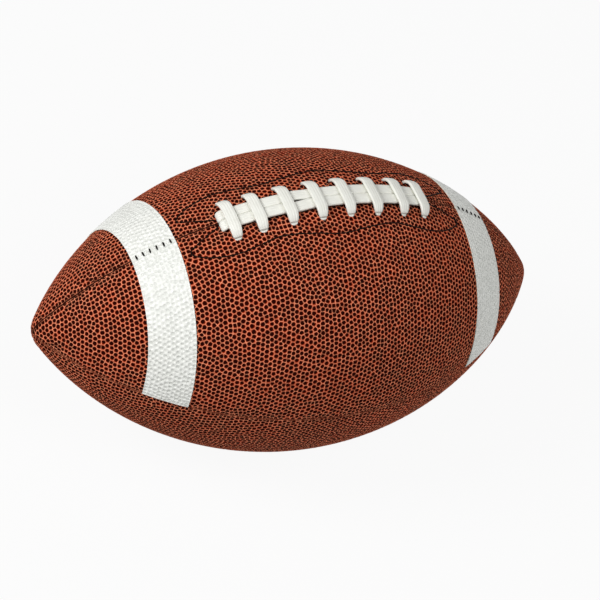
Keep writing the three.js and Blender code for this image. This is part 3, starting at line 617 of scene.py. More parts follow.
def composite_leather():
    """Embossed polyurethane: an orange-brown raised net with near-black pits, a painted highlight along its
    crests and seam lips, and painted shade in its seams and beside the lacing.
    """
    material, tree, shader = new_material("composite_leather_embossed")
    sewn = node(tree, "ShaderNodeAttribute", attribute_name="sewn", out="Fac")
    flat = node(tree, "ShaderNodeAttribute", attribute_name="flat", out="Vector")
    place = node(tree, "ShaderNodeTexCoord", out="Object")
    sizes = (LEATHER_CLOUD_SIZE, LEATHER_PATCH_SIZE, LEATHER_SPECK_SIZE, LEATHER_GRAIN_SIZE)
    cloud, patch, speck, grain = [
        node(tree, "ShaderNodeTexNoise", {"Vector": place, "Scale": 1 / size, "Detail": detail})
        for size, detail in zip(sizes, (3.0, 1.0, 2.0, 2.0))
    ]

    nearest, next_one = pits_around(tree, place)
    uneven = node(tree, "ShaderNodeMath", [speck, PIT_EDGE_WANDER, nearest], operation="MULTIPLY_ADD")
    raised = node(
        tree, "ShaderNodeMapRange", [uneven, *PIT_EDGE, 0.0, 1.0], interpolation_type="SMOOTHSTEP"
    )
    height = node(tree, "ShaderNodeSeparateXYZ", [flat], out="Z")
    lip = node(tree, "ShaderNodeMapRange", [height, *LIP_DROP, 0.0, 1.0])
    net = node(tree, "ShaderNodeMath", [raised, lip], operation="MAXIMUM")
    # Painted highlight: a pale tone along the crests between the pits and on the rolled seam lips, made
    # uneven by noise
    border = node(tree, "ShaderNodeMath", [next_one, nearest], operation="SUBTRACT")
    ridge = node(
        tree, "ShaderNodeMapRange", [border, *CREST_EDGE, 0.0, 1.0], interpolation_type="SMOOTHSTEP"
    )
    crest_highlight_strength = node(tree, "ShaderNodeMapRange", [patch, *NOISE_SPREAD, *CREST_HIGHLIGHT_SPREAD])
    ridge_highlight = node(tree, "ShaderNodeMath", [ridge, crest_highlight_strength], operation="MULTIPLY")
    lip_highlight_strength = node(tree, "ShaderNodeMapRange", [speck, *NOISE_SPREAD, *LIP_HIGHLIGHT_SPREAD])
    lip_highlight = node(tree, "ShaderNodeMath", [lip, lip_highlight_strength], operation="MULTIPLY")
    painted_highlight = node(tree, "ShaderNodeMath", [ridge_highlight, lip_highlight], operation="MAXIMUM")

    # Painted shade: near-black down the seam creases, darkest at the hand-sewn lace seam, and along the
    # stitched groove
    seam_side = node(tree, "ShaderNodeVectorMath", [flat], operation="ABSOLUTE")
    beside = node(tree, "ShaderNodeSeparateXYZ", [seam_side]).node.outputs
    rough_height = node(tree, "ShaderNodeMath", [speck, CREASE_WANDER, height], operation="MULTIPLY_ADD")
    open_seam = node(tree, "ShaderNodeMapRange", [beside["Y"], *HAND_SEWN_REACH, *CREASE_SHADE])
    crease = node(tree, "ShaderNodeMapRange", [rough_height, *CREASE_DROP, 0.0, open_seam])
    line = node(tree, "ShaderNodeMapRange", [sewn, *SEWN_EDGE, 0.0, SEWN_GROOVE_SHADE])
    seam_shade = node(tree, "ShaderNodeMath", [crease, line], operation="MAXIMUM")
    # Painted shadow: a dark band along both edges of the lace strands, fading outward
    shade_end = LACING_HALF_WIDTH + LACING_SHADE_FADE
    under_lace = node(
        tree, "ShaderNodeMapRange", [beside["Y"], LACING_HALF_WIDTH, shade_end, LACING_SHADOW, 0.0]
    )
    lacing_end = slot_arc + LACING_SHADE_MARGIN
    along_lace = node(tree, "ShaderNodeMath", [beside["X"], lacing_end], operation="LESS_THAN")
    lacing_shade = node(tree, "ShaderNodeMath", [under_lace, along_lace], operation="MULTIPLY")
    soil_and_painted_shade = node(tree, "ShaderNodeMath", [seam_shade, lacing_shade], operation="MAXIMUM")

    colour = node(
        tree,
        "ShaderNodeMix",
        {0: cloud, 6: linear(LEATHER_BROWN), 7: linear(LEATHER_LIGHT_BROWN)},
        out=2,
        data_type="RGBA",
    )
    colour = node(tree, "ShaderNodeMix", {0: net, 6: linear(LEATHER_PIT), 7: colour}, out=2, data_type="RGBA")
    for share, tone in ((painted_highlight, LEATHER_CREST_HIGHLIGHT), (soil_and_painted_shade, LEATHER_PAINTED_SHADE)):
        colour = node(tree, "ShaderNodeMix", {0: share, 6: colour, 7: linear(tone)}, out=2, data_type="RGBA")
    tree.links.new(colour, shader["Base Color"])
    shine = node(tree, "ShaderNodeMapRange", [net, 0.0, 1.0, *LEATHER_ROUGHNESS])
    tree.links.new(shine, shader["Roughness"])
    relief = node(tree, "ShaderNodeMath", [grain, LEATHER_GRAIN_RELIEF, net], operation="MULTIPLY_ADD")
    bump = node(tree, "ShaderNodeBump", {"Strength": 0.8, "Distance": 0.0005, "Height": relief})
    tree.links.new(bump, shader["Normal"])
    shader["Specular IOR Level"].default_value = 0.03
    return material


cover_finish = composite_leather()

# Stitched outline beside the lacing, from its notch round its end to the middle of the ball:
# station along the axis, offset from the seam
OUTLINE = [
    (0.0585, 0.0026),
    (0.0665, 0.006),
    (0.073, 0.01),
    (0.0705, 0.0136),
    (0.063, 0.0174),
    (0.053, 0.0193),
    (0.043, 0.0184),
    (0.03, 0.0168),
    (0.015, 0.0188),
    (0.0, 0.021),
]


def flat_line(name, points):
    """Line of points on the flat blank, as edges."""
    return new_piece(name, points, edges=[(place, place + 1) for place in range(len(points) - 1)])


outlines = {}
for side, sign in (("front", 1), ("rear", -1)):
    half_line = [(arc_at(station), sign * offset, 0.0) for station, offset in OUTLINE]
    other_half = [(-arc, offset, 0.0) for arc, offset, height in reversed(half_line[:-1])]
    outlines[side] = flat_line(side + "_outline", half_line + other_half)

panel_arcs = np.linspace(-tip_arc, tip_arc, PANEL_STATIONS)
panel_section = {
    "under": [(SEAM_GAP / 2, -PANEL_THICKNESS)],
    "gap": SEAM_GAP,
    "roll": SEAM_ROLL,
    "top": 0.0,
    "columns": PANEL_COLUMNS,
}
slots = [(end * slot_arc, 0.0, SLOT_HALF_SIZE) for end in (-1, 1)]
hole_offset = LACE_HOLE_OFFSET - LACE_HOLE_SHIFT
front_holes = [(arc_at(station), hole_offset, LACE_HOLE_HALF_SIZE) for station in BAR_STATIONS]
rear_holes = [(arc - REAR_HOLE_LEAN, -offset, half_size) for arc, offset, half_size in front_holes]
valve_hole = [(0.0, VALVE_TURN * half_diameter, (VALVE_HOLE_RADIUS, VALVE_HOLE_RADIUS))]
PANEL_PLACES = [
    ("front_upper_panel", 0, outlines["front"], front_holes + slots),
    ("front_lower_panel", QUARTER, None, []),
    ("rear_lower_panel", -2 * QUARTER, None, valve_hole),
    ("rear_upper_panel", -QUARTER, outlines["rear"], rear_holes + slots),
]
for seed, (node_name, first_turn, outline, holes) in enumerate(PANEL_PLACES, COVER_SEED):
    panel = blank_of("cover_" + node_name, panel_arcs, first_turn, panel_section)
    if holes:
        punched(panel, holes)
    middle = first_turn + QUARTER / 2
    shape_with(
        panel, wrap_and_emboss, seed=seed, middle_turn=middle, stitched_line=outline, finish=cover_finish
    )
    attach(panel, "root")
    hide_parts(node_name)

# Linings: one sheet of woven cotton glued behind each panel, so that the cover keeps its shape.
# Nothing of them shows on a finished ball, so the solids stay as they are and only get their cloth.
LINING_THREAD_SPACING = 0.0008
# A wave pattern of scale 1 turns through this many radians in a metre
WAVE_RADIANS = 20


def woven_cloth(name, thread, gap, thread_spacing):
    """Plain weave: two crossed sets of round threads, pale on their crowns, with painted shade darker between
    them.
    """
    material, tree, shader = new_material(name)
    place = node(tree, "ShaderNodeTexCoord", out="Object")
    scale = 2 * math.pi / (WAVE_RADIANS * thread_spacing)
    bands = [
        node(
            tree,
            "ShaderNodeTexWave",
            {"Vector": place, "Scale": scale, "Distortion": 0.6, "Detail": 1.0},
            out="Fac",
            bands_direction=direction,
        )
        for direction in ("X", "Y")
    ]
    crown = node(tree, "ShaderNodeMath", bands, operation="MAXIMUM")
    # Painted shade: the gap colour darkens the weave between the thread crowns
    tones = {0: crown, 6: linear(gap), 7: linear(thread)}
    colour = node(tree, "ShaderNodeMix", tones, out=2, data_type="RGBA")
    tree.links.new(colour, shader["Base Color"])
    bump = node(tree, "ShaderNodeBump", {"Strength": 0.6, "Distance": thread_spacing / 4, "Height": crown})
    tree.links.new(bump, shader["Normal"])
    shader["Roughness"].default_value = 0.9
    return material


def dress(node_names, material):
    """Gives their finish to pieces whose solids stay as they are."""
    for node_name in node_names:
        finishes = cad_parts[node_name].data.materials
        finishes.clear()
        finishes.append(material)


lining_cloth = woven_cloth("glued_cotton_lining", "#d3c9b4", "#8f856f", LINING_THREAD_SPACING)
dress(["front_upper_lining", "front_lower_lining", "rear_lower_lining", "rear_upper_lining"], lining_cloth)

# Stripes: white polyurethane film bonded over the pebble of the two upper panels, so the pits show through
# softly. Each film is cut straight at both edges and turned into the seams with the panel under it.
STRIPE_INNER = 0.0772
STRIPE_OUTER = 0.097
STRIPE_TOP = 0.00045
STRIPE_UNDERSIDE = 0.00003
STRIPE_STATIONS = 64
STRIPE_COLUMNS = 300
STRIPE_LIP_RADIUS = 0.0006
STRIPE_LIP_GAP = 0.00003
STRIPE_PIT_DEPTH = 0.0003
STRIPE_SEED = 11
# Underside of the lip, down the rolled edge of the panel: distance from the seam's plane, height
STRIPE_LIP_UNDER = [(0.0011, STRIPE_UNDERSIDE), (0.0003, -0.00015), (0.00002, -0.0003)]
# Colours of the film, with a painted shade for its pits, and the sizes in its finish from the widest dirt
# cloud to the finest grain
FILM_WHITE = "#f0f1ec"
FILM_PIT_SHADE = "#dcded8"
FILM_SOIL = "#e0e0d9"
FILM_CUT_EDGE = "#d6cdb4"
FILM_CLOUD_SIZE = 0.012
FILM_SPECK_SIZE = 0.0022
FILM_GRAIN_SIZE = 0.0006
FILM_SOIL_SPREAD = (0.35, 0.75)
FILM_SOIL_SHARE = 0.35
FILM_PIT_WANDER = 0.0024
FILM_PIT_EDGE = (0.0015, 0.0023)
FILM_CUT_HEIGHT = (0.0001, 0.0004)
FILM_CUT_WIDTH = 0.0001
FILM_GRAIN_RELIEF = 0.1
FILM_ROUGHNESS = (0.32, 0.45)

stripe_middle = (arc_at(STRIPE_OUTER) + arc_at(STRIPE_INNER)) / 2
stripe_half_width = (arc_at(STRIPE_OUTER) - arc_at(STRIPE_INNER)) / 2


def bonded_film():
    """White film: glossy where it is smooth, with a soft grey painted shade in the pits and a cream cut edge.
    """
    material, tree, shader = new_material("white_bonded_film")
    on_blank = node(tree, "ShaderNodeAttribute", attribute_name="flat", out="Vector")
    flat = node(tree, "ShaderNodeSeparateXYZ", [on_blank]).node.outputs
    place = node(tree, "ShaderNodeTexCoord", out="Object")
    sizes = (FILM_CLOUD_SIZE, FILM_SPECK_SIZE, FILM_GRAIN_SIZE)
    cloud, speck, grain = [
        node(tree, "ShaderNodeTexNoise", {"Vector": place, "Scale": 1 / size, "Detail": detail})
        for size, detail in zip(sizes, (4.0, 1.0, 2.0))
    ]

    nearest = pits_around(tree, place)[0]
    uneven = node(tree, "ShaderNodeMath", [speck, FILM_PIT_WANDER, nearest], operation="MULTIPLY_ADD")
    raised = node(
        tree, "ShaderNodeMapRange", [uneven, *FILM_PIT_EDGE, 0.0, 1.0], interpolation_type="SMOOTHSTEP"
    )
    soil_and_painted_shade = node(tree, "ShaderNodeMapRange", [cloud, *FILM_SOIL_SPREAD, 0.0, FILM_SOIL_SHARE])
    low = node(tree, "ShaderNodeMapRange", [flat["Z"], *FILM_CUT_HEIGHT, 1.0, 0.0])
    arc = node(tree, "ShaderNodeMath", [flat["X"]], operation="ABSOLUTE")
    middle = node(tree, "ShaderNodeMath", [arc, stripe_middle], operation="SUBTRACT")
    aside = node(tree, "ShaderNodeMath", [middle], operation="ABSOLUTE")
    cut_from = stripe_half_width - FILM_CUT_WIDTH
    at_cut = node(tree, "ShaderNodeMath", [aside, cut_from], operation="GREATER_THAN")
    cut = node(tree, "ShaderNodeMath", [low, at_cut], operation="MULTIPLY")

    # Painted shade: soft grey in the pits, under the raised film white
    colour = linear(FILM_PIT_SHADE)
    for share, tone in ((raised, FILM_WHITE), (soil_and_painted_shade, FILM_SOIL), (cut, FILM_CUT_EDGE)):
        colour = node(tree, "ShaderNodeMix", {0: share, 6: colour, 7: linear(tone)}, out=2, data_type="RGBA")
    tree.links.new(colour, shader["Base Color"])
    relief = node(tree, "ShaderNodeMath", [grain, FILM_GRAIN_RELIEF, raised], operation="MULTIPLY_ADD")
    bump = node(tree, "ShaderNodeBump", {"Strength": 0.5, "Distance": 0.0003, "Height": relief})
    tree.links.new(bump, shader["Normal"])
    shine = node(tree, "ShaderNodeMapRange", [grain, 0.0, 1.0, *FILM_ROUGHNESS])
    tree.links.new(shine, shader["Roughness"])
    return material


stripe_finish = bonded_film()
stripe_arcs = np.linspace(arc_at(STRIPE_INNER), arc_at(STRIPE_OUTER), STRIPE_STATIONS)
stripe_section = {
    "under": STRIPE_LIP_UNDER,
    "gap": STRIPE_LIP_GAP,
    "roll": STRIPE_LIP_RADIUS,
    "top": STRIPE_TOP,
    "columns": STRIPE_COLUMNS,
}
STRIPE_PLACES = [
    ("front_left_stripe", -stripe_arcs[::-1], 0),
    ("front_right_stripe", stripe_arcs, 0),
    ("rear_left_stripe", -stripe_arcs[::-1], -QUARTER),
    ("rear_right_stripe", stripe_arcs, -QUARTER),
]
for seed, (node_name, arcs, first_turn) in enumerate(STRIPE_PLACES, STRIPE_SEED):
    stripe = blank_of("bonded_" + node_name, arcs, first_turn, stripe_section)
    shape_with(
        stripe,
        wrap_and_emboss,
        seed=seed,
        pit_depth=STRIPE_PIT_DEPTH,
        top_height=STRIPE_TOP,
        pressed_above=STRIPE_TOP / 2,
        middle_turn=first_turn + QUARTER / 2,
        finish=stripe_finish,
    )
    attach(stripe, "root")
    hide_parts(node_name)

# Lace facings: strips of laminated cloth behind the holes, sewn through the cover along the outlines.
# The strips are hidden. Their stitches are black waxed thread, each a short run between two needle holes.
FACING_THREAD_SPACING = 0.0011
facing_cloth = woven_cloth("laminated_facing_cloth", "#bdb19a", "#776b56", FACING_THREAD_SPACING)
dress(["front_lace_facing", "rear_lace_facing"], facing_cloth)

STITCH_PITCH = 0.0029
STITCH_HALF_LENGTH = 0.0016
STITCH_HALF_WIDTH = 0.00041
STITCH_LEVEL = -0.0002
STITCH_UNEVENNESS = 0.06
STITCH_FACETS = 8
STITCH_SEED = 31
THREAD_BLACK = "#060302"
THREAD_RUBBED_BLACK = "#140c09"
# The real fibres are finer, and are drawn as coarse as they need to show
THREAD_FIBRE_SIZE = 0.0003


def stitch_tree():
    """Tree that lays a row of stitches along a line on the flat blank and wraps them on the ball."""
    inputs = {
        "Geometry": ("Geometry", None),
        "Pitch": ("Float", STITCH_PITCH),
        "Stitch size": ("Vector", (STITCH_HALF_LENGTH, STITCH_HALF_WIDTH, STITCH_HALF_WIDTH)),
        "Level": ("Float", STITCH_LEVEL),
        "Stripe level": ("Float", STITCH_LEVEL),
        "Stripe from": ("Float", arc_at(STRIPE_INNER)),
        "Stripe to": ("Float", arc_at(STRIPE_OUTER)),
        "Quarter turn": ("Float", 0.0),
        "Unevenness": ("Float", STITCH_UNEVENNESS),
        "Seam turn": ("Float", 0.0),
        "Seed": ("Int", STITCH_SEED),
        "Finish": ("Material", None),
    }
    tree, given, result = new_tree("stitch_along", inputs)
    fine = smooth_curve(tree, given["Geometry"])
    places = node(tree, "GeometryNodeResampleCurve", {"Curve": fine, "Length": given["Pitch"]}, mode="LENGTH")
    ball = node(tree, "GeometryNodeMeshUVSphere", {"Segments": STITCH_FACETS, "Rings": STITCH_FACETS})
    stitch = node(tree, "GeometryNodeTransform", {"Geometry": ball, "Scale": given["Stitch size"]})
    tangent = node(tree, "GeometryNodeInputTangent")
    ahead = node(tree, "FunctionNodeAlignRotationToVector", {"Vector": tangent}, axis="X")
    less = node(tree, "ShaderNodeMath", [given["Unevenness"], -1.0], operation="MULTIPLY")
    slant = node(
        tree,
        "FunctionNodeRandomValue",
        {2: less, 3: given["Unevenness"], "Seed": given["Seed"]},
        out=1,
        data_type="FLOAT",
    )
    angle = node(tree, "ShaderNodeMath", [given["Quarter turn"], slant], operation="ADD")
    about_height = node(tree, "ShaderNodeCombineXYZ", [0.0, 0.0, angle])
    turned = node(tree, "FunctionNodeRotateRotation", [ahead, about_height], rotation_space="LOCAL")
    stitches = {"Points": places, "Instance": stitch, "Rotation": turned}
    row = node(tree, "GeometryNodeInstanceOnPoints", stitches)
    made = node(tree, "GeometryNodeRealizeInstances", [row])
    flat = node(tree, "GeometryNodeInputPosition")
    arc = node(tree, "ShaderNodeMath", [node(tree, "ShaderNodeSeparateXYZ", [flat])], operation="ABSOLUTE")
    past_inner = node(tree, "ShaderNodeMath", [arc, given["Stripe from"]], operation="GREATER_THAN")
    before_outer = node(tree, "ShaderNodeMath", [arc, given["Stripe to"]], operation="LESS_THAN")
    on_stripe = node(tree, "ShaderNodeMath", [past_inner, before_outer], operation="MULTIPLY")
    level = node(tree, "ShaderNodeMix", {0: on_stripe, 2: given["Level"], 3: given["Stripe level"]})
    lift = node(tree, "ShaderNodeCombineXYZ", [0.0, 0.0, level])
    here = node(tree, "ShaderNodeVectorMath", [flat, lift], operation="ADD")
    wrapped = node(tree, "GeometryNodeGroup", {"Flat place": here}, node_tree=wrap_on_ball)
    around = node(
        tree,
        "ShaderNodeVectorRotate",
        {"Vector": wrapped, "Center": (0.0, 0.0, axis_height), "Angle": given["Seam turn"]},
        rotation_type="X_AXIS",
    )
    laid = node(tree, "GeometryNodeSetPosition", {"Geometry": made, "Position": around})
    outward = node(tree, "GeometryNodeFlipFaces", [laid])
    smooth = node(tree, "GeometryNodeSetShadeSmooth", {"Geometry": outward})
    tree.links.new(node(tree, "GeometryNodeSetMaterial", [smooth, None, given["Finish"]]), result["Geometry"])
    return tree


stitch_along = stitch_tree()


def waxed_thread():
    """Waxed polyester sewing thread: black, faintly shiny, with its fine fibres as a bump."""
    material, tree, shader = new_material("black_waxed_thread")
    place = node(tree, "ShaderNodeTexCoord", out="Object")
    fibre = node(tree, "ShaderNodeTexNoise", {"Vector": place, "Scale": 1 / THREAD_FIBRE_SIZE, "Detail": 2.0})
    tones = {0: fibre, 6: linear(THREAD_BLACK), 7: linear(THREAD_RUBBED_BLACK)}
    colour = node(tree, "ShaderNodeMix", tones, out=2, data_type="RGBA")
    tree.links.new(colour, shader["Base Color"])
    bump = node(tree, "ShaderNodeBump", {"Strength": 0.4, "Distance": 0.0001, "Height": fibre})
    tree.links.new(bump, shader["Normal"])
    shader["Roughness"].default_value = 0.55
    shader["Specular IOR Level"].default_value = 0.05
    return material


thread_finish = waxed_thread()
for seed, (side, row) in enumerate(outlines.items(), STITCH_SEED):
    row.name = side + "_outline_stitches"
    shape_with(row, stitch_along, finish=thread_finish, seed=seed)
    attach(row, "root")
    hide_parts(side + "_facing_stitch")

# Seam threads: the panels are lock-stitched edge to edge. Beside the lacing the seam is closed by hand last,
# so there its stitches cross from lip to lip and show as short dark bars. In the other seams they lie deep.
HAND_STITCH_PITCH = 0.0036
HAND_STITCH_SIZE = (0.00155, 0.00046, 0.0004)
TIGHT_STITCH_SIZE = (0.0012, 0.0004, 0.0004)
HAND_STITCH_LEVEL = -0.0007
HAND_STITCH_STRIPE_LEVEL = 0.00052
HAND_STITCHES_BEFORE_STRIPE = 6
HAND_STITCHES = 27
STRIPE_EDGE_TO_STITCH = 0.0024
DEEP_STITCH_PITCH = 0.0032
DEEP_STITCH_SIZE = (0.0008, 0.0003, 0.0003)
DEEP_STITCH_LEVEL = -0.0011
SEAM_POINTS = 24
SEAM_SEED = 41


def seam_line(name, first_arc, last_arc):
    """Straight line along a seam on the flat blank."""
    return flat_line(name, [(arc, 0.0, 0.0) for arc in np.linspace(first_arc, last_arc, SEAM_POINTS)])


hand_sewn = {
    "pitch": HAND_STITCH_PITCH,
    "stitch_size": HAND_STITCH_SIZE,
    "level": HAND_STITCH_LEVEL,
    "stripe_level": HAND_STITCH_STRIPE_LEVEL,
}
pulled_tight = {**hand_sewn, "stitch_size": TIGHT_STITCH_SIZE}
deep_sewn = {
    "pitch": DEEP_STITCH_PITCH,
    "stitch_size": DEEP_STITCH_SIZE,
    "level": DEEP_STITCH_LEVEL,
    "stripe_level": DEEP_STITCH_LEVEL,
}
hand_start = arc_at(STRIPE_INNER) + STRIPE_EDGE_TO_STITCH - HAND_STITCHES_BEFORE_STRIPE * HAND_STITCH_PITCH
hand_end = hand_start + (HAND_STITCHES - 1) * HAND_STITCH_PITCH
SEAM_PLACES = [
    ("right_lace_seam_thread", hand_start, hand_end, 0, pulled_tight),
    ("left_lace_seam_thread", -hand_start, -hand_end, 0, hand_sewn),
    ("front_seam_thread", -flank_arc, flank_arc, QUARTER, deep_sewn),
    ("bottom_seam_thread", -flank_arc, flank_arc, 2 * QUARTER, deep_sewn),
    ("rear_seam_thread", -flank_arc, flank_arc, -QUARTER, deep_sewn),
]
for seed, (node_name, first_arc, last_arc, turn, sewing) in enumerate(SEAM_PLACES, SEAM_SEED):
    row = seam_line(node_name + "_stitches", first_arc, last_arc)
    shape_with(
        row, stitch_along, quarter_turn=QUARTER, seam_turn=turn, seed=seed, finish=thread_finish, **sewing
    )
    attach(row, "root")
    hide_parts(node_name)

# Bladder and valve: a butyl rubber bladder fills the cover, with a moulded valve bonded into its wall.
# Only the end of the valve shows, down its hole in the rear lower panel.
BLADDER_BLOOM_SIZE = 0.004
VALVE_BLOOM_SIZE = 0.001


def moulded_rubber(name, dark, pale, bloom_size):
    """Moulded rubber: nearly black, dull, with a fine bloom."""
    material, tree, shader = new_material(name)
    place = node(tree, "ShaderNodeTexCoord", out="Object")
    bloom = node(tree, "ShaderNodeTexNoise", {"Vector": place, "Scale": 1 / bloom_size, "Detail": 3.0})
    tones = {0: bloom, 6: linear(dark), 7: linear(pale)}
    colour = node(tree, "ShaderNodeMix", tones, out=2, data_type="RGBA")
    tree.links.new(colour, shader["Base Color"])
    bump = node(tree, "ShaderNodeBump", {"Strength": 0.2, "Distance": bloom_size / 10, "Height": bloom})
    tree.links.new(bump, shader["Normal"])
    shader["Roughness"].default_value = 0.65
    return material


dress(["bladder"], moulded_rubber("butyl_bladder_rubber", "#1f1f21", "#333336", BLADDER_BLOOM_SIZE))

VALVE_SEGMENTS = 48
VALVE_TOP = -0.0006
VALVE_NECK_RADIUS = 0.0034
VALVE_BORE_RADIUS = 0.0021
VALVE_FLANGE_RADIUS = 0.008
VALVE_FLANGE_TOP = -0.00849
VALVE_FLANGE_UNDERSIDE = -0.00989
VALVE_CORE_TOP = -0.0009
VALVE_CORE_FOOT = -0.0096
VALVE_CORE_RADIUS = 0.0018
VALVE_CORE_FOOT_RADIUS = 0.0009
NEEDLE_DIMPLE_RADIUS = 0.0011
NEEDLE_DIMPLE_FLOOR_RADIUS = 0.000275
NEEDLE_DIMPLE_DEPTH = 0.0009
VALVE_ROUNDING = 0.0004
VALVE_CORNER_STEPS = 4


def rounded(corners, closed):
    """Profile with its corners rounded, except both ends where it is open."""
    points = []
    count = len(corners)
    for place, corner in enumerate(corners):
        if not closed and place in (0, count - 1):
            points.append(corner)
            continue
        here = Vector(corner)
        before = (Vector(corners[place - 1]) - here).normalized() * VALVE_ROUNDING
        after = (Vector(corners[(place + 1) % count]) - here).normalized() * VALVE_ROUNDING
        for step in range(VALVE_CORNER_STEPS + 1):
            share = step / VALVE_CORNER_STEPS
            points.append(tuple(here + before * (1 - share) ** 2 + after * share**2))
    return points


def turned_in_valve_hole(name, profile, closed):
    """Piece turned about the valve hole's axis: radius and height above the cover, outside on the left."""
    outward = Vector((0, -math.sin(VALVE_TURN), math.cos(VALVE_TURN)))
    beside = Vector((1, 0, 0))
    across = outward.cross(beside)
    corners = []
    for radius, height in profile:
        level = Vector((0, 0, axis_height)) + outward * (half_diameter + height)
        for segment in range(VALVE_SEGMENTS):
            angle = 4 * QUARTER * segment / VALVE_SEGMENTS
            corners.append(level + (beside * math.cos(angle) + across * math.sin(angle)) * radius)
    piece = new_piece(name, corners, faces=faces_of_rows(len(profile), VALVE_SEGMENTS, ring=closed))
    piece.data.shade_smooth()
    return piece


body_corners = [
    (VALVE_BORE_RADIUS, VALVE_FLANGE_UNDERSIDE),
    (VALVE_BORE_RADIUS, VALVE_TOP),
    (VALVE_NECK_RADIUS, VALVE_TOP),
    (VALVE_NECK_RADIUS, VALVE_FLANGE_TOP),
    (VALVE_FLANGE_RADIUS, VALVE_FLANGE_TOP),
    (VALVE_FLANGE_RADIUS, VALVE_FLANGE_UNDERSIDE),
]
core_corners = [
    (NEEDLE_DIMPLE_FLOOR_RADIUS, VALVE_CORE_TOP - NEEDLE_DIMPLE_DEPTH),
    (NEEDLE_DIMPLE_RADIUS, VALVE_CORE_TOP),
    (VALVE_CORE_RADIUS, VALVE_CORE_TOP),
    (VALVE_CORE_RADIUS, VALVE_CORE_FOOT),
    (VALVE_CORE_FOOT_RADIUS, VALVE_CORE_FOOT),
]
VALVE_PIECES = [
    ("valve_body", body_corners, True, ("moulded_valve_rubber", "#3a322c", "#574b43")),
    ("valve_core", core_corners, False, ("valve_core_rubber", "#1b1918", "#2e2b29")),
]
for node_name, corners, closed, rubber in VALVE_PIECES:
    turned_piece = turned_in_valve_hole("turned_" + node_name, rounded(corners, closed), closed)
    turned_piece.data.materials.append(moulded_rubber(*rubber, VALVE_BLOOM_SIZE))
    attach(turned_piece, "root")
    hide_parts(node_name)

# Tongue: a strip of laminated cloth under the lacing, which keeps the lace off the bladder.
# It lies out of sight between the facings and the bladder, so its solid stays as it is.
tongue_cloth = woven_cloth("laminated_tongue_cloth", "#d8d0bf", "#968b75", FACING_THREAD_SPACING)
dress(["lace_tongue"], tongue_cloth)

# Lace: one white moulded strap. Two strands lie along the seam, and eight bars cross over them from the holes
# in the front panel to those in the rear one, with the runs between the bars hidden inside.
LACE_WIDTH = 0.0058
LACE_PINCHED_WIDTH = 0.0036
BAR_TIP_WIDTHS = (0.0034, 0.0013)
BAR_SLOPE = 1.8
BAR_FOOT_LEVEL = -0.0006
STRAND_END_WIDTH = 0.0056
LACE_THICKNESS = 0.0017
LACE_GAP = 0.0001
BAR_GAP = 0.0004
LACE_BEND = 0.0019
TUCK_STEPS = 4
STRAND_BEND = 0.0027
STRAND_STEPS = 60
LACE_TAIL = 0.012
SLIT_STATION = -0.0185
SLIT_HALF_LENGTH = 0.0045
SLIT_HALF_GAP = 0.0006
CREASE_STEPS = (4, 5)
CREASE_DEPTH = 0.0009
LACE_UNDER_FACING = -0.0044
LACE_INSIDE = -0.0058
BEND_STEPS = 18
STRAP_STEP = 0.00035
STRAP_SIDES = 24
STRAP_SQUARENESS = 0.55
LACE_WHITE = "#f0f0e8"
LACE_USED_WHITE = "#e2e1d7"
LACE_CREASE_SHADE = "#6f6c64"
LACE_CLOUD_SIZE = 0.006
LACE_USE_SPREAD = (0.4, 0.75)
LACE_USE_SHARE = 0.5
LACE_CREASE_SPREAD = (0.4, 1.0)
LACE_CREASE_SHADE_SHARE = 0.5
LACE_RIB_RADIANS = 14.0

slit_arc = arc_at(SLIT_STATION)
strand_offset = (LACE_WIDTH + LACE_GAP) / 2
strand_level = LACE_GAP + LACE_THICKNESS / 2
strand_edge = strand_offset + LACE_WIDTH / 2
bar_level = strand_level + LACE_THICKNESS + BAR_GAP
ALONG = np.array((1.0, 0.0, 0.0))
REARWARD = np.array((0.0, -1.0, 0.0))
strap_route = []


def strap_step(arc, offset, height, width, side, crease=0.0):
    """Adds a place to the strap's route on the flat blank, with the direction of its width."""
    strap_route.append((np.array((arc, offset, height)), width, side, crease))


def quarter_bend(run, low, high, narrow, slope=1.0):
    """Bend out of a hole: distance come across, height and width, which grows as the strap rises."""
    bend = []
    for step in range(BEND_STEPS + 1):
        angle = QUARTER * step / BEND_STEPS
        width = narrow + (LACE_WIDTH - narrow) * math.sin(angle)
        bend.append((run * (1 - math.cos(angle)), low + (high - low) * math.sin(angle) ** slope, width))
    return bend


def strand(offset):
    """Strand along the seam from the right slot to the left one, parted from the other at a short slit."""
    rise = [(slot_arc, LACE_UNDER_FACING, LACE_PINCHED_WIDTH)]
    bend = quarter_bend(STRAND_BEND, -LACE_THICKNESS / 2, strand_level, STRAND_END_WIDTH)
    rise += [(slot_arc - across, height, width) for across, height, width in bend]
    top_arc = rise[-1][0]
    run = [(arc, strand_level, LACE_WIDTH) for arc in np.linspace(top_arc, -top_arc, STRAND_STEPS)[1:-1]]
    fall = [(-arc, height, width) for arc, height, width in reversed(rise)]
    for arc, height, width in rise + run + fall:
        parted = SLIT_HALF_GAP * math.exp(-(((arc - slit_arc) / SLIT_HALF_LENGTH) ** 2))
        strap_step(arc, offset + math.copysign(parted, offset), height, width, REARWARD)


def tuck(start, end, first_side, last_side):
    """Hidden run inside the facings from one hole to the next."""
    start = np.array(start)
    end = np.array(end)
    run = np.linalg.norm(end - start)
    bends = [QUARTER * step / TUCK_STEPS for step in range(1, TUCK_STEPS + 1)]
    places = [(LACE_BEND * (1 - math.cos(bend)), LACE_BEND * (1 - math.sin(bend))) for bend in bends]
    places += [(run - distance, height) for distance, height in reversed(places)]
    for distance, height in places:
        share = distance / run
        arc, offset = start + (end - start) * share
        side = first_side * (1 - share) + last_side * share
        strap_step(arc, offset, LACE_INSIDE + height, LACE_PINCHED_WIDTH, side)


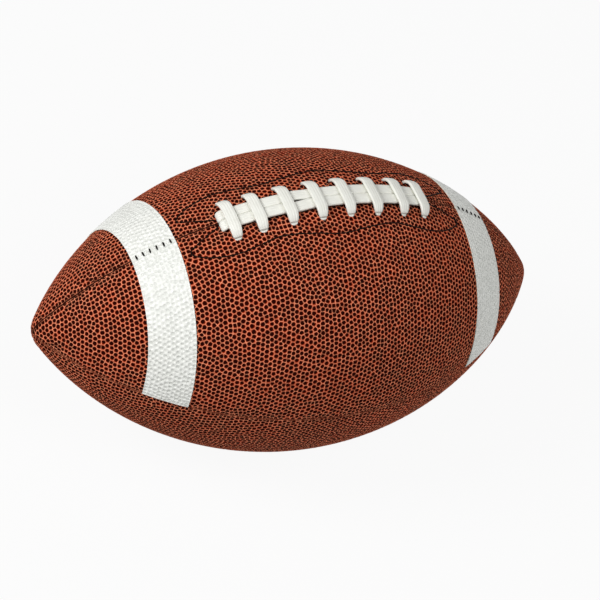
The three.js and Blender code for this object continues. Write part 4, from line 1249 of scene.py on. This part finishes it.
def bar(arc, tip_width):
    """Bar from the front hole over both strands to the rear hole, where it leans a little to the left."""
    half = [(LACE_HOLE_OFFSET, LACE_UNDER_FACING, LACE_PINCHED_WIDTH, 0.0, 1.0)]
    reach = LACE_HOLE_OFFSET - strand_edge + LACE_GAP
    bend = quarter_bend(reach, BAR_FOOT_LEVEL, bar_level, tip_width, BAR_SLOPE)
    for step, (across, height, width) in enumerate(bend):
        crease = CREASE_DEPTH if step in CREASE_STEPS else 0.0
        half.append((LACE_HOLE_OFFSET - across, height, width, crease, 1 - step / BEND_STEPS))
    for offset, height, width, crease, tucked in half:
        strap_step(arc, offset, height, width, ALONG, crease)
    for offset, height, width, crease, tucked in reversed(half):
        strap_step(arc - REAR_HOLE_LEAN * tucked, -offset, height, width, ALONG, crease)


bar_arcs = [arc_at(station) for station in BAR_STATIONS]
strap_step(slot_arc + LACE_TAIL, strand_offset, LACE_INSIDE, LACE_PINCHED_WIDTH, REARWARD)
strap_step(slot_arc + LACE_BEND, strand_offset, LACE_INSIDE, LACE_PINCHED_WIDTH, REARWARD)
strand(strand_offset)
tuck((-slot_arc, strand_offset), (bar_arcs[0], LACE_HOLE_OFFSET), REARWARD, ALONG)
for place, tip_width in enumerate(np.linspace(*BAR_TIP_WIDTHS, len(bar_arcs))):
    bar(bar_arcs[place], tip_width)
    rear_hole = (bar_arcs[place] - REAR_HOLE_LEAN, -LACE_HOLE_OFFSET)
    if place + 1 < len(bar_arcs):
        tuck(rear_hole, (bar_arcs[place + 1], LACE_HOLE_OFFSET), ALONG, ALONG)
tuck(rear_hole, (slot_arc, -strand_offset), ALONG, REARWARD)
strand(-strand_offset)
strap_step(-slot_arc - LACE_BEND, -strand_offset, LACE_INSIDE, LACE_PINCHED_WIDTH, REARWARD)
strap_step(-slot_arc - LACE_TAIL, -strand_offset, LACE_INSIDE, LACE_PINCHED_WIDTH, REARWARD)


def even_route(route, step):
    """The route with places at even steps along it."""
    places, widths, sides, creases = (np.array(column) for column in zip(*route))
    reach = np.concatenate([[0], np.cumsum(np.linalg.norm(np.diff(places, axis=0), axis=1))])
    at = np.linspace(0, reach[-1], int(reach[-1] / step))
    even = [np.interp(at, reach, column) for column in (*places.T, *sides.T, widths, creases)]
    return at, np.column_stack(even[:3]), np.column_stack(even[3:6]), even[6], even[7]


def strap_mesh(name, route):
    """Strap of a rounded flat section along its route, with its own length and width noted on it."""
    at, places, sides, widths, creases = even_route(route, STRAP_STEP)
    tangents = np.gradient(places, axis=0)
    tangents /= np.linalg.norm(tangents, axis=1)[:, None]
    sides = sides - tangents * np.sum(sides * tangents, axis=1)[:, None]
    sides /= np.linalg.norm(sides, axis=1)[:, None]
    ups = np.cross(tangents, sides)
    angles = np.linspace(0, 2 * math.pi, STRAP_SIDES, endpoint=False)
    across = np.sign(np.cos(angles)) * np.abs(np.cos(angles)) ** STRAP_SQUARENESS
    upward = np.sign(np.sin(angles)) * np.abs(np.sin(angles)) ** STRAP_SQUARENESS
    corners = places[:, None, :] + sides[:, None, :] * (across[None, :, None] * widths[:, None, None] / 2)
    thickness = upward[None, :] * LACE_THICKNESS / 2 - np.maximum(upward, 0)[None, :] * creases[:, None]
    corners = corners + ups[:, None, :] * thickness[:, :, None]
    rows = len(places)
    piece = new_piece(name, corners.reshape(-1, 3).tolist(), faces=faces_of_rows(rows, STRAP_SIDES))
    noted = piece.data.attributes.new("strap", "FLOAT_VECTOR", "POINT")
    width_share = np.tile(across, rows)
    along = np.repeat(at, STRAP_SIDES)
    height_share = np.tile(upward, rows)
    noted.data.foreach_set("vector", np.column_stack([width_share, along, height_share]).ravel())
    # The crease share is noted for the painted shade in the lace's finish
    crease_shade_note = piece.data.attributes.new("crease", "FLOAT", "POINT")
    crease_shade_note.data.foreach_set("value", np.repeat(creases / CREASE_DEPTH, STRAP_SIDES))
    return piece


def plain_wrap_tree():
    """Tree that wraps a piece drawn on the flat blank on the ball, with no embossing."""
    inputs = {"Geometry": ("Geometry", None), "Finish": ("Material", None)}
    tree, given, result = new_tree("wrap_plain", inputs)
    flat = node(tree, "GeometryNodeInputPosition")
    wrapped = node(tree, "GeometryNodeGroup", {"Flat place": flat}, node_tree=wrap_on_ball)
    laid = node(tree, "GeometryNodeSetPosition", {"Geometry": given["Geometry"], "Position": wrapped})
    smooth = node(tree, "GeometryNodeSetShadeSmooth", {"Geometry": laid})
    tree.links.new(node(tree, "GeometryNodeSetMaterial", [smooth, None, given["Finish"]]), result["Geometry"])
    return tree


wrap_plain = plain_wrap_tree()


def moulded_lace():
    """Moulded vinyl strap: off-white and satin, with fine ribs along it and painted shade in its creases."""
    material, tree, shader = new_material("moulded_vinyl_lace")
    strap = node(tree, "ShaderNodeAttribute", attribute_name="strap", out="Vector")
    place = node(tree, "ShaderNodeTexCoord", out="Object")
    cloud = node(tree, "ShaderNodeTexNoise", {"Vector": place, "Scale": 1 / LACE_CLOUD_SIZE, "Detail": 3.0})
    across = node(tree, "ShaderNodeSeparateXYZ", [strap], out="X")
    ribs = node(tree, "ShaderNodeMath", [across, LACE_RIB_RADIANS], operation="MULTIPLY")
    rib = node(tree, "ShaderNodeMath", [ribs], operation="SINE")
    used = node(tree, "ShaderNodeMapRange", [cloud, *LACE_USE_SPREAD, 0.0, LACE_USE_SHARE])
    # Painted shade: grey in the creases near the bar tips, where the crease share is high
    crease = node(tree, "ShaderNodeAttribute", attribute_name="crease", out="Fac")
    soil_and_painted_shade = node(tree, "ShaderNodeMapRange", [crease, *LACE_CREASE_SPREAD, 0.0, LACE_CREASE_SHADE_SHARE])
    colour = linear(LACE_WHITE)
    for share, tone in ((used, LACE_USED_WHITE), (soil_and_painted_shade, LACE_CREASE_SHADE)):
        colour = node(tree, "ShaderNodeMix", {0: share, 6: colour, 7: linear(tone)}, out=2, data_type="RGBA")
    tree.links.new(colour, shader["Base Color"])
    bump = node(tree, "ShaderNodeBump", {"Strength": 0.4, "Distance": 0.00015, "Height": rib})
    tree.links.new(bump, shader["Normal"])
    shader["Roughness"].default_value = 0.45
    return material


lace = strap_mesh("laced_strap", strap_route)
shape_with(lace, wrap_plain, finish=moulded_lace())
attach(lace, "root")
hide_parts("lace")

# Stage: a pale plain floor under the ball, and soft studio light from two large lamps.
# The camera stands where the photograph was taken.
CAMERA_AZIMUTH = -0.6797
CAMERA_ELEVATION = 0.7920
CAMERA_ROLL = 0.3939
CAMERA_DISTANCE = 1.3737
CAMERA_SHIFT = (0.006371, -0.0004166)
FOCAL_PIXELS = 2719.02
IMAGE_PIXELS = 600
SENSOR = 36.0
# Each lamp's place to the right of the ball, above it and towards the camera, its size and its power
LAMPS = {
    "key_light": ((-0.8, 0.55, 1.1), 0.6, 16.0),
    "fill_light": ((0.9, 0.2, 1.2), 0.9, 9.5),
}
SURROUNDING_LIGHT = 0.1
FLOOR_REACH = 30.0
FLOOR_GLOW = 0.93
PAPER_GREY = "#d0d0d0"
STUDIO_WHITE = "#ffffff"

back = Vector((
    math.sin(CAMERA_AZIMUTH) * math.cos(CAMERA_ELEVATION),
    -math.cos(CAMERA_AZIMUTH) * math.cos(CAMERA_ELEVATION),
    math.sin(CAMERA_ELEVATION),
))
level_right = Vector((math.cos(CAMERA_AZIMUTH), math.sin(CAMERA_AZIMUTH), 0))
level_up = back.cross(level_right)
right = math.cos(CAMERA_ROLL) * level_right + math.sin(CAMERA_ROLL) * level_up
up = math.cos(CAMERA_ROLL) * level_up - math.sin(CAMERA_ROLL) * level_right
centre = Vector((0, 0, axis_height))
camera_place = centre + back * CAMERA_DISTANCE + right * CAMERA_SHIFT[0] + up * CAMERA_SHIFT[1]
camera = bpy.data.objects.new("camera", bpy.data.cameras.new("camera"))
camera.data.sensor_width = SENSOR
camera.data.lens = FOCAL_PIXELS * SENSOR / IMAGE_PIXELS
camera.matrix_world = Matrix.Translation(camera_place) @ Matrix((right, up, back)).transposed().to_4x4()
bpy.context.scene.collection.objects.link(camera)
bpy.context.scene.camera = camera

for name, (stand, size, power) in LAMPS.items():
    light = bpy.data.lights.new(name, "AREA")
    light.size = size
    light.energy = power
    place = centre + right * stand[0] + up * stand[1] + back * stand[2]
    aim = (centre - place).to_track_quat("-Z", "Y")
    lamp = bpy.data.objects.new(name, light)
    lamp.matrix_world = Matrix.Translation(place) @ aim.to_matrix().to_4x4()
    bpy.context.scene.collection.objects.link(lamp)


def looked_at(tree):
    """1 where the camera looks, also by way of a mirror or glass, and 0 for light that falls on things."""
    rays = node(tree, "ShaderNodeLightPath").node.outputs
    sent_on = [rays["Is Glossy Ray"], rays["Is Transmission Ray"]]
    through = node(tree, "ShaderNodeMath", sent_on, operation="MAXIMUM")
    return node(tree, "ShaderNodeMath", [rays["Is Camera Ray"], through], operation="MAXIMUM")


world = bpy.data.worlds.new("studio")
world.use_nodes = True
surroundings = world.node_tree.nodes["Background"].inputs
surroundings["Color"].default_value = linear(STUDIO_WHITE)
seen = looked_at(world.node_tree)
glare = node(world.node_tree, "ShaderNodeMapRange", [seen, 0.0, 1.0, SURROUNDING_LIGHT, 1.0])
world.node_tree.links.new(glare, surroundings["Strength"])
bpy.context.scene.world = world

floor_corners = [(-1, -1, 0), (1, -1, 0), (1, 1, 0), (-1, 1, 0)]
floor = new_piece("floor", [Vector(corner) * FLOOR_REACH for corner in floor_corners], faces=[(0, 1, 2, 3)])
paper, paper_tree, paper_shader = new_material("white_paper")
paper_shader["Base Color"].default_value = linear(PAPER_GREY)
paper_shader["Roughness"].default_value = 0.9
glow = node(paper_tree, "ShaderNodeEmission", [linear(STUDIO_WHITE), 1.0])
share = node(paper_tree, "ShaderNodeMath", [looked_at(paper_tree), FLOOR_GLOW], operation="MULTIPLY")
mixed = node(paper_tree, "ShaderNodeMixShader", [share, paper_tree.nodes["Principled BSDF"].outputs[0], glow])
paper_tree.links.new(mixed, paper_tree.nodes["Material Output"].inputs["Surface"])
floor.data.materials.append(paper)

bpy.context.scene.view_settings.view_transform = "Standard"
